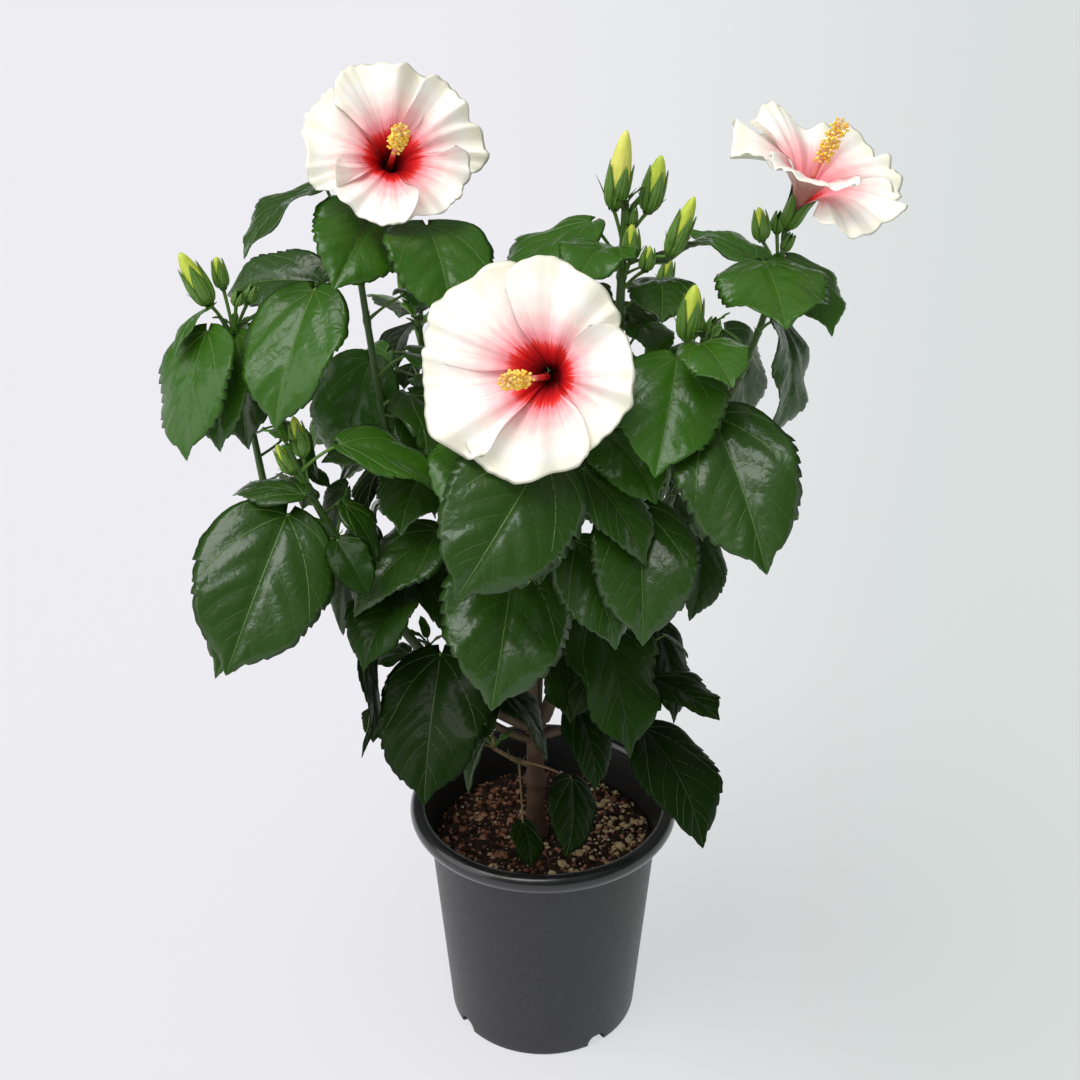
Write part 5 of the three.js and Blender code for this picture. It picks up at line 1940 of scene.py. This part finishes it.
@dataclass
class Crown:
    """All the foliage, grown by the source's rule and then dressed."""

    framework: Framework
    middle: Triple = (-26, 25, 435)
    reach: Triple = (178, 220, 185)
    rings: int = 10
    ribs: int = 7
    tries: int = 9
    retry: float = 40
    clear: float = 8
    twig_clear: float = 4.5
    twigs: int = 6
    twig_top: float = 520
    twig_seed: int = 500
    crowd: Crowd = field(default_factory=Crowd)
    stems: dict[str, Bend] = field(default_factory=dict)

    def leaf_places(self, stem: Bend, spec: LeafSpec, number: int) -> tuple[Array, Array, Array]:
        """The points of a leaf's blade, of its stalk, and of the stalk's foot.

        Args:
            stem: The stem that it stands on.
            spec: The leaf.
            number: Its number on the stem.

        Returns:
            Three rows of points.
        """
        root = spec.root(stem)
        stalk = stalk_bend(stem.at(spec.at), root)
        t, s = lattice(np.arange(1, self.rings + 1) / self.rings,
                       2 * np.arange(self.ribs) / (self.ribs - 1) - 1)
        blade = LEAF_FORM.surface(root, spec, number)(t, s).reshape(-1, 3)
        return blade, stalk.span(0.4, 0.9, 3), stalk.span(0.1, 0.3, 2)

    def take_leaf(self, owner: str, places: tuple[Array, Array, Array]) -> None:
        """Takes the space of a leaf."""
        self.crowd.occupy(owner, places[0])
        self.crowd.occupy(owner, places[1])

    def is_inside(self, points: Array) -> bool:
        """Whether all the points lie inside the crown."""
        off = (points - np.array(self.middle)) / np.array(self.reach)
        return bool((np.linalg.norm(off, axis=1) < 1).all())

    def is_free(self, mass: MassSpec, places: tuple[Array, Array, Array], clear: float) -> bool:
        """Whether a leaf lies inside the crown and clear of all else.

        Args:
            mass: The mass that it belongs to.
            places: Points as from `leaf_places`.
            clear: The least gap.

        Returns:
            True where it may stand.
        """
        blade, stalk, foot = places
        return self.is_inside(blade) and (
            self.crowd.is_clear(blade, (), clear)
            and self.crowd.is_clear(stalk, (mass.name,), clear)
            and self.crowd.is_clear(foot, (mass.name, mass.stem.parent), clear))

    def ruled_leaves(self, mass: MassSpec) -> list[Grown]:
        """Grows a mass's leaves by rule, each tried in a few directions.

        Args:
            mass: The mass.

        Returns:
            Each leaf that was clear.
        """
        found: list[Grown] = []
        spec, first, stem = mass.fill, len(mass.leaves), self.stems[mass.name]
        draw = Chance(spec.seed).draw
        for i in range(spec.count):
            at = spec.start + (spec.end - spec.start) * i / max(spec.count - 1, 1)
            placed = False
            for attempt in range(self.tries):
                turn = spec.first + GOLDEN_ANGLE * i + self.retry * attempt
                leaf = LeafSpec(
                    at, turn, 5 + 35 * draw(), 26 + 20 * draw(),
                    spec.small + (spec.large - spec.small) * draw(), 0.72 + 0.14 * draw(),
                    turn + 60 * (draw() - 0.5), spec.hang * (1 - 0.5 * at) + 20 * (draw() - 0.5),
                    40 * (draw() - 0.5))
                if placed:
                    continue
                places = self.leaf_places(stem, leaf, first + i)
                placed = self.is_free(mass, places, self.clear)
                if placed:
                    found.append(Grown(stem, first + i, leaf))
                    self.take_leaf(mass.name, places)
        return found

    def grow_twigs(self, mass: MassSpec) -> tuple[list[Bend], list[Grown]]:
        """Carries the rule on to fine twigs along a mass's stem, with small leaves.

        Args:
            mass: The mass.

        Returns:
            The twigs that bear a leaf, and their leaves.
        """
        twigs: list[Bend] = []
        found: list[Grown] = []
        stem = self.stems[mass.name]
        draw = Chance(mass.fill.seed + self.twig_seed).draw
        for i in range(self.twigs):
            at = 0.08 + 0.8 * i / self.twigs
            for attempt in range(self.tries):
                turn = mass.fill.first + 70 + GOLDEN_ANGLE * i + self.retry * attempt
                twig = LimbSpec("", "", at, turn, 14 + 20 * draw(), 4 + 14 * draw(), 0.6, 0.3,
                                1.1, 0.8).bend_from(stem.at(at))
                line = twig.span(0.3, 1, 6)
                if line[-1][2] > self.twig_top or not self.is_inside(line) or \
                        not self.crowd.is_clear(line, (mass.name,), self.twig_clear):
                    continue
                leaves = self.twig_leaves(mass, twig, turn, draw)
                if leaves:
                    self.crowd.occupy(mass.name, line)
                    twigs.append(twig)
                    found += leaves
                    break
        return twigs, found

    def twig_leaves(self, mass: MassSpec, twig: Bend, turn: float,
                    draw: Callable[[], float]) -> list[Grown]:
        """The small leaves of one twig that find room.

        Args:
            mass: The mass that the twig belongs to.
            twig: The twig's line.
            turn: The twig's direction.
            draw: The chance to draw from.

        Returns:
            The leaves.
        """
        found: list[Grown] = []
        for k, place in enumerate((1.0, 0.75, 0.5)):
            way = turn + (k % 2 * 2 - 1) * k * 45 + 30 * (draw() - 0.5)
            leaf = LeafSpec(place, way, 10 + 20 * draw(), 7 + 8 * draw(), 24 + 24 * draw(),
                            0.68 + 0.12 * draw(), way, 20 + 45 * draw(), 40 * (draw() - 0.5))
            places = self.leaf_places(twig, leaf, k)
            if self.is_free(mass, places, self.twig_clear):
                self.take_leaf(mass.name, places)
                found.append(Grown(twig, k, leaf, small=True))
        return found

    def reserve(self) -> None:
        """Takes the space of limbs, stems, blooms, buds and set leaves first."""
        for name, wood in self.framework.limbs.items():
            self.crowd.occupy(name, wood.bend.span(0, 1, 40))
        for mass in MASSES:
            stem = self.framework.branch(mass.stem)
            self.stems[mass.name] = stem
            self.crowd.occupy(mass.name, stem.span(0, 1, 14))
        for mass in MASSES:
            stem = self.stems[mass.name]
            for spec in mass.blooms:
                bloom = Bloom(spec)
                self.crowd.occupy(mass.name, bloom.crowd_points())
                self.crowd.occupy(mass.name, bloom.stalk(stem).span(0, 1, 8))
            for bud in mass.buds:
                axis = direction(bud.lean, bud.tilt)
                steps = np.array([0, 0.3, 0.6, 0.9])[:, None] * bud.length
                self.crowd.occupy(mass.name, bud.foot(stem) + axis * steps)
            for number, leaf in enumerate(mass.leaves):
                self.take_leaf(mass.name, self.leaf_places(stem, leaf, number))

    def dress(self) -> None:
        """Grows and dresses every mass: the large leaves first, then the twigs."""
        self.reserve()
        grown = {}
        for mass in MASSES:
            stem = self.stems[mass.name]
            grown[mass.name] = [Grown(stem, n, leaf) for n, leaf in enumerate(mass.leaves)]
            grown[mass.name] += self.ruled_leaves(mass)
        for number, mass in enumerate(MASSES):
            twigs, small = self.grow_twigs(mass)
            LOG.info("%s: %d leaves, %d small ones", mass.name, len(grown[mass.name]), len(small))
            leaves = grown[mass.name] + small
            FoliageMass(mass, self.stems[mass.name], leaves, twigs, number).dress()


@dataclass
class FoliageMass:
    """One mass in full: stems, twigs and stalks, blades, buds and blooms."""

    mass: MassSpec
    stem: Bend
    leaves: list[Grown]
    twigs: list[Bend]
    number: int
    seed: int = 40
    stem_sides: int = 12
    shoot_leaves: int = 4
    stalk_radius: float = 1.15
    bud_stalk_radius: float = 1.3

    def tone(self, grown: Grown, rng: np.random.Generator) -> LeafTone:
        """Deals out a leaf's green: paler towards the top and for small leaves, and darker low in
        the crown as painted shade.

        Args:
            grown: The leaf.
            rng: The chance to draw from.

        Returns:
            Its green.
        """
        root = grown.spec.root(grown.stem)
        # painted shade: the lower a leaf's root, the darker and less glossy its green; a random
        # part spreads the tones
        level = np.interp(root[2], [240, 330, 430, 520, 600], [3.9, 3.6, 2.8, 1.7, 1.2])
        level += rng.uniform(-0.8, 0.8) - (0.4 if grown.spec.blade < 50 and not grown.small else 0)
        return LeafTone(int(np.clip(round(level), 0, 4)))

    def dress(self) -> None:
        """Makes the pieces that stand for the mass's solid."""
        node = self.mass.name
        short = node.removeprefix("foliage_")
        rng = np.random.default_rng(self.seed + self.number)
        wood, blades, buds = Draft(), Draft(), Draft()
        woody = short == "foot"
        self.add_stem(wood, rng, DRY_SKIN if woody else STEM_SKIN)
        for twig in self.twigs:
            add_tube(wood, twig.span(0, 1, 8), np.linspace(1.1, 0.75, 9), 7, STEM_SKIN)
        for grown in self.leaves:
            self.add_stalk(wood, grown, DRY_SKIN if woody else STALK_SKIN)
            Blade(grown.spec, grown.stem, grown.number, rng, self.tone(grown, rng),
                  grown.small).add_to(blades)
        self.add_shoot(wood, blades, rng)
        for bud in self.mass.buds:
            self.add_bud_stalk(wood, bud)
            Bud(bud, self.stem, rng).add_to(buds)
        for spec in self.mass.blooms:
            bloom = Bloom(spec)
            line = bloom.stalk(self.stem).span(0, 1, 16)
            add_tube(wood, line, np.linspace(1.6, 2.2, 17), 8, STEM_SKIN)
            bloom.add_calyx(buds)
            place_piece(bloom.dress_petals("petals_" + short), "foliage", node)
            place_piece(bloom.dress_column("column_" + short), "foliage", node)
        for kind, draft in (("stems_", wood), ("leaves_", blades), ("buds_", buds)):
            if draft.points:
                place_piece(draft.build(kind + short), "foliage", node)

    def add_stem(self, draft: Draft, rng: np.random.Generator, finish: Finish) -> None:
        """Adds the stem, a little thicker at each leaf.

        Args:
            draft: The piece that takes it.
            rng: The chance to draw from.
            finish: Its finish.
        """
        spec = self.mass.stem
        t = np.linspace(0, 1, 60)
        radii = spec.radius(t)
        for grown in self.leaves:
            if not grown.small:
                radii = radii + 0.5 * bell((t - grown.spec.at) / 0.018)
        sides = self.stem_sides
        ridges = 3 * np.arange(sides) * TURN / sides
        wobble = 1 + 0.03 * np.sin(ridges + wander(rng, t, 4, 2.0)[:, None])
        add_rings(draft, tube_rings(self.stem.at(t), radii, sides, wobble), finish)

    def add_stalk(self, draft: Draft, grown: Grown, finish: Finish) -> None:
        """Adds a leaf's stalk, with its swollen ends and two stipules at its foot.

        Args:
            draft: The piece that takes it.
            grown: The leaf.
            finish: Its finish.
        """
        leaf = grown.spec
        start, root = grown.stem.at(leaf.at), leaf.root(grown.stem)
        along, _, over = leaf.axes()
        bend = stalk_bend(start, root)
        line = np.concatenate([bend.span(0, 1, 12), [root + along * 1.5 - over * 0.1]])
        t = np.linspace(0, 1, len(line))
        scale = np.interp(leaf.blade, [24, 60, 110], [0.5, 0.85, 1.1])
        radii = np.interp(t, [0, 0.12, 0.25, 0.82, 0.95, 1], [1.5, 1.35, 1, 0.95, 1.25, 0.5])
        add_tube(draft, line, radii * self.stalk_radius * scale, 8, finish)
        if grown.small:
            return
        first = bend.heading(0.0)
        for side in (-1, 1):
            aside = unit(np.cross(first, [0, 0, 1.0])) * side
            base = start + first * 2.2 + aside * 1.2
            tip = base + first * 1.5 + aside * 3.2 + np.array([0, 0, 3.5])
            add_tube(draft, np.stack([base, (base + tip) / 2 + aside * 0.6, tip]),
                     np.array([0.45, 0.35, 0.1]), 4, SEPAL_SKIN)

    def add_bud_stalk(self, draft: Draft, bud: BudSpec) -> None:
        """Adds a bud's stalk.

        Args:
            draft: The piece that takes it.
            bud: The bud.
        """
        line = stalk_bend(self.stem.at(bud.at), bud.foot(self.stem)).span(0, 1, 12)
        t = np.linspace(0, 1, 13)
        radii = np.interp(t, [0, 0.1, 0.3, 0.9, 1], [1.3, 1.1, 0.85, 0.95, 1.25])
        add_tube(draft, line, radii * self.bud_stalk_radius, 8, STALK_SKIN)

    def add_shoot(self, wood: Draft, blades: Draft, rng: np.random.Generator) -> None:
        """Adds the young folded leaves round the stem's tip.

        Args:
            wood: The piece that takes the stalks.
            blades: The piece that takes the blades.
            rng: The chance to draw from.
        """
        if self.mass.blooms:
            return
        for k in range(self.shoot_leaves):
            turn = self.mass.stem.turn + GOLDEN_ANGLE * k + rng.uniform(-15, 15)
            rise, stalk = rng.uniform(50, 75), rng.uniform(5, 9)
            leaf = LeafSpec(1.0 - 0.02 * k, turn, rise, stalk, rng.uniform(11, 19), 0.5, turn,
                            -rng.uniform(25, 60), 0)
            Blade(leaf, self.stem, k, rng, LeafTone.YOUNG, small=True,
                  thickness=0.35).add_to(blades)
            line = stalk_bend(self.stem.at(leaf.at), leaf.root(self.stem)).span(0, 1, 5)
            add_tube(wood, line, np.linspace(0.8, 0.5, 6), 6, STALK_SKIN)


# ---- pot and potting mix ----


@dataclass
class Pot:
    """The round nursery pot: a tapering wall with a fat rolled rim and four foot notches."""

    height: float = 192.5
    wall: float = 1.8
    floor: float = 2.4
    foot_radius: float = 72
    neck_radius: float = 86.4
    neck_height: float = 176
    rim_radius: float = 100
    rim_width: float = 12.5
    rim_height: float = 14
    notches: int = 4
    notch_turn: float = 35
    notch_radius: float = 8
    notch_rise: float = 2
    segments: int = 192

    def inside(self, z: float) -> float:
        """Inside radius of the wall at a height."""
        widened = (self.neck_radius - self.foot_radius) * z / self.neck_height
        return self.foot_radius - self.wall + widened

    def profile(self) -> tuple[list[tuple[float, float]], int, int]:
        """The outline from the middle of the underside round to the inside floor.

        Returns:
            The points, and the first and last point that belong to the rim.
        """
        rim = (self.rim_radius - self.rim_width / 2, self.height - self.rim_height / 2)
        points = [(0.001, 0.0), (50, 0), (self.foot_radius - 3, 0), (self.foot_radius - 1.4, 0.3),
                  (self.foot_radius - 0.4, 1.2), (self.foot_radius, 2.8)]
        steps = 24
        for k in range(1, steps + 1):
            points.append((self.foot_radius + (self.neck_radius - self.foot_radius) * k / steps,
                           2.8 + (self.neck_height - 2.8) * k / steps))
        first = len(points)
        for angle in np.linspace(-135, 168, 34) * RADIAN:
            points.append((rim[0] + self.rim_width / 2 * math.cos(angle),
                           rim[1] + self.rim_height / 2 * math.sin(angle)))
        last = len(points) - 1
        for k in range(0, steps + 1):
            z = self.neck_height - (self.neck_height - self.floor - 2.2) * k / steps
            points.append((self.inside(z), z))
        inner = (self.foot_radius - self.wall - 2, 50, 0.001)
        points += [(radius, self.floor) for radius in inner]
        return points, first, last

    def dress(self) -> None:
        """Makes the pot and cuts its notches."""
        points, first, last = self.profile()
        line = np.array(points)
        angle = turns(self.segments)
        rings = np.stack([line[:, :1] * np.cos(angle), line[:, :1] * np.sin(angle),
                          line[:, 1:] * np.ones(self.segments)], -1)
        draft = Draft()
        index = ring_index(len(points), self.segments)
        index[0], index[-1] = index[0, 0], index[-1, 0]
        corners = rings.reshape(-1, 3)
        corners[index[0, 0]] = (0, 0, 0)
        corners[index[-1, 0]] = (0, 0, self.floor)
        add_grid(draft, corners, index[:first + 1], POT_BODY)
        draft.extend_grid(index[first:last + 1], POT_RIM)
        draft.extend_grid(index[last:], POT_BODY)
        piece = draft.build("pot_shell")
        self.cut_notches(piece)
        place_piece(piece, "pot_plastic", "pot")

    def cut_notches(self, piece: bpy.types.Object) -> None:
        """Cuts the drain notches round the foot.

        Args:
            piece: The uncut pot.
        """
        cutters = Draft()
        for k in range(self.notches):
            turn = self.notch_turn + 360 * k / self.notches
            away = direction(turn, 0)
            foot = np.array([0, 0, self.notch_rise])
            line = np.stack([foot + away * (self.foot_radius + reach) for reach in (-7, 7)])
            add_tube(cutters, line, np.full(2, self.notch_radius), 32, POT_BODY)
        tool = cutters.build("notch_tool")
        cut = piece.modifiers.new("notches", "BOOLEAN")
        cut.operation, cut.solver, cut.object = "DIFFERENCE", "EXACT", tool
        bpy.context.view_layer.update()
        scene = bpy.context.evaluated_depsgraph_get()
        shaped = bpy.data.meshes.new_from_object(piece.evaluated_get(scene))
        piece.modifiers.clear()
        piece.data = shaped
        shaped.name = piece.name
        bpy.data.objects.remove(tool)


@dataclass
class PottingMix:
    """The potting mix: a crumbly bed with bark chips of several tones on it.

    The odds are those of each tone on the left and on the right.
    """

    pot: Pot
    left_odds: tuple[float, ...] = (0.52, 0.28, 0.14, 0.03, 0.03)
    right_odds: tuple[float, ...] = (0.5, 0.09, 0.06, 0.27, 0.08)
    largest: float = 3.4
    largest_pale: float = 1.6
    tan_growth: float = 1.25
    seed: int = 5
    surface: float = 158.3
    gap: float = 0.3
    bare_radius: float = 11
    chips: int = 3600
    rings: int = 46
    sides: int = 120

    def height(self, x: Array, y: Array) -> Array:
        """The bed's surface: gently uneven."""
        bump = np.sin(x * 0.21 + 1.3) * np.cos(y * 0.19 - 0.6) - 0.4
        fine = np.sin(x * 0.9 + 2 * np.sin(y * 0.4)) * np.sin(y * 0.8 + 1.7)
        return self.surface - 1.2 + 1.4 * bump + 0.6 * fine

    def dress(self) -> None:
        """Makes the bed and its chips."""
        self.dress_bed()
        self.dress_chips()

    def dress_bed(self) -> None:
        """Makes the bed, down to the pot's floor."""
        edge = self.pot.inside(self.surface) - self.gap - 0.4
        reach = np.linspace(0, edge, self.rings)
        angle = turns(self.sides)
        x, y = reach[:, None] * np.cos(angle), reach[:, None] * np.sin(angle)
        top = np.stack([x, y, self.height(x, y)], -1)
        low = self.pot.floor + self.gap
        foot = self.pot.inside(0) - 3 - self.gap
        side = [(foot + 2.4, low + 3), (foot, low), (foot / 2, low), (0.0, low)]
        rim = [np.stack([r * np.cos(angle), r * np.sin(angle), np.full(self.sides, z)], -1)
               for r, z in side]
        rings = np.concatenate([top, np.stack(rim)])
        index = ring_index(len(rings), self.sides)
        index[0], index[-1] = index[0, 0], index[-1, 0]
        draft = Draft()
        add_grid(draft, rings.reshape(-1, 3), index, MIX_BED, flip=True)
        place_piece(draft.build("mix_bed"), "potting_mix", "potting_mix")

    def dress_chips(self) -> None:
        """Scatters the crumbs and chips: reddish to the front left, tan to the front right."""
        rng = np.random.default_rng(self.seed)
        left_odds, right_odds = np.array(self.left_odds), np.array(self.right_odds)
        draft = Draft()
        edge = self.pot.inside(self.surface) - self.gap - 0.5
        shell, sides = self.crumb()
        for _ in range(self.chips):
            away, turn = edge * math.sqrt(rng.random()), rng.uniform(0, TURN)
            x, y = away * math.cos(turn), away * math.sin(turn)
            right = min(max((x + 5 - 0.4 * abs(y + 10)) / 45, 0), 1)
            odds = (1 - right) * left_odds + right * right_odds
            tone = CHIP_TONES[rng.choice(len(CHIP_TONES), p=odds)]
            size = min(rng.lognormal(0.35, 0.45), self.largest)
            if tone is CHIP_TAN:
                size *= self.tan_growth
            if tone is CHIP_PALE:
                size = min(size, self.largest_pale)
            shape = np.array([1.0, rng.uniform(0.6, 0.95), rng.uniform(0.4, 0.75)]) * size
            reach = math.hypot(x, y) + size * 1.3
            if math.hypot(x + 5.5, y) < self.bare_radius + size or reach > edge:
                continue
            points = shell * (1 + rng.uniform(-0.28, 0.28, (len(shell), 1))) * shape
            spin, lean = rng.uniform(0, TURN), rng.uniform(-0.6, 0.6)
            cos, sin = math.cos(spin), math.sin(spin)
            tilt = np.array([[1, 0, 0], [0, math.cos(lean), -math.sin(lean)],
                             [0, math.sin(lean), math.cos(lean)]])
            points = points @ tilt.T @ np.array([[cos, -sin, 0], [sin, cos, 0], [0, 0, 1]]).T
            level = float(self.height(np.array(x), np.array(y)))
            draft.add(points + np.array([x, y, level + shape[2] * 0.5]), sides, tone)
        place_piece(draft.build("mix_chips", smooth=False), "potting_mix", "potting_mix")

    @staticmethod
    def crumb() -> tuple[Array, Array]:
        """A crumb's twelve corners about its middle, and its twenty faces.

        Returns:
            The corners and the faces.
        """
        lift = math.atan(0.5)
        upper, lower = (
            [[math.cos(a) * math.cos(lift), math.sin(a) * math.cos(lift), side * math.sin(lift)]
             for a in turns(5) + shift] for side, shift in ((1, 0), (-1, TURN / 10)))
        corners = np.array([[0, 0, 1.0], *upper, *lower, [0, 0, -1.0]])
        faces = []
        for k in range(5):
            a, b, c, d = 1 + k, 1 + (k + 1) % 5, 6 + k, 6 + (k + 1) % 5
            faces += [(0, a, b), (a, c, b), (b, c, d), (11, d, c)]
        return corners, np.array(faces)


# ---- studio ----


@dataclass(frozen=True)
class SunSpec:
    """A broad soft lamp far away: its turn about X, Y and Z, and how wide it looks, in degrees."""

    name: str
    tilt: Triple
    strength: float
    angle: float
    glossy: bool = True

    def add(self) -> None:
        """Adds the lamp."""
        data = bpy.data.lights.new(self.name, "SUN")
        data.energy, data.angle = self.strength, self.angle * RADIAN
        lamp = add_object(self.name, data)
        lamp.rotation_euler = [part * RADIAN for part in self.tilt]
        lamp.visible_glossy = self.glossy


@dataclass
class Studio:
    """The plain pale floor, the soft light, and the camera."""

    camera_place: Triple = (-2.5, -1078.0, 995.0)
    camera_pitch: float = 28.43
    lens: float = 58.97
    sensor: float = 36.0
    floor_size: float = 60.0
    flat_size: float = 20.0
    floor_rise: float = 3.5
    low_light: float = 0.1
    top_light: float = 0.25
    top_from: float = 0.45
    suns: tuple[SunSpec, ...] = (
        SunSpec("sun_above", (12.7, -18, 0), 1.9, 42),
        SunSpec("sun_left", (17.5, -63, 0), 0.85, 50),
        SunSpec("fill_front", (50, -14, 0), 0.55, 50, glossy=False),
        SunSpec("fill_above", (0, 0, 0), 0.8, 150, glossy=False),
    )

    def build(self) -> None:
        """Makes everything round the plant."""
        self.add_floor()
        self.add_world()
        for sun in self.suns:
            sun.add()
        bpy.context.scene.view_settings.view_transform = "Standard"
        self.add_camera()

    def add_floor(self) -> None:
        """A wide pale floor, darker and a little cooler to the right as painted shade, which rises
        gently far away.
        """
        mesh = bpy.data.meshes.new("floor")
        levels = ((self.flat_size / 2, 0.0), (self.floor_size / 2, self.floor_rise))
        corners = [(x * half, y * half, height) for half, height in levels
                   for x, y in ((-1, -1), (1, -1), (1, 1), (-1, 1))]
        slopes = [(k, 4 + k, 4 + (k + 1) % 4, (k + 1) % 4) for k in range(4)]
        mesh.from_pydata(corners, [], [(0, 1, 2, 3), *slopes])
        finish = FloorFinish("floor_pale", (0.812, 0.804, 0.84), 0.9, relief=0.0, specular=0.0)
        mesh.materials.append(finish.material())
        floor = add_object("floor", mesh)

    def add_world(self) -> None:
        """A soft light from overhead, which fades to a weak one round about."""
        world = bpy.data.worlds.new("studio")
        bpy.context.scene.world = world
        world.use_nodes = True
        nodes = Nodes(world.node_tree)
        way = nodes.add("TexCoord", "Generated", {})
        fade = nodes.add("MapRange", "Result", {
            "Value": nodes.add("SeparateXYZ", "Z", {"Vector": way}), "From Min": self.top_from,
            "To Min": self.low_light, "To Max": self.top_light}, interpolation_type="SMOOTHSTEP")
        nodes.join(world.node_tree.nodes["Background"],
                   {"Color": (0.97, 0.99, 1.0, 1.0), "Strength": fade})

    def add_camera(self) -> None:
        """The camera, looking along +Y and down."""
        data = bpy.data.cameras.new("camera")
        data.lens, data.sensor_width, data.sensor_fit = self.lens, self.sensor, "HORIZONTAL"
        data.clip_end = 100
        camera = add_object("camera", data)
        camera.location = [part * MM for part in self.camera_place]
        camera.rotation_euler = ((90 - self.camera_pitch) * RADIAN, 0, 0)
        bpy.context.scene.camera = camera


# ---- the whole ----


def write_sizes() -> None:
    """Brings the view layer up to date."""
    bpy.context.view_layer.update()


def main() -> None:
    """Builds the pot, the framework, the crown and the studio, in that order."""
    logging.basicConfig(level=logging.INFO, format="%(message)s")
    pot = Pot()
    pot.dress()
    PottingMix(pot).dress()
    framework = Framework()
    framework.grow()
    framework.dress()
    Crown(framework).dress()
    Studio().build()
    write_sizes()


if __name__ == "__main__":
    main()
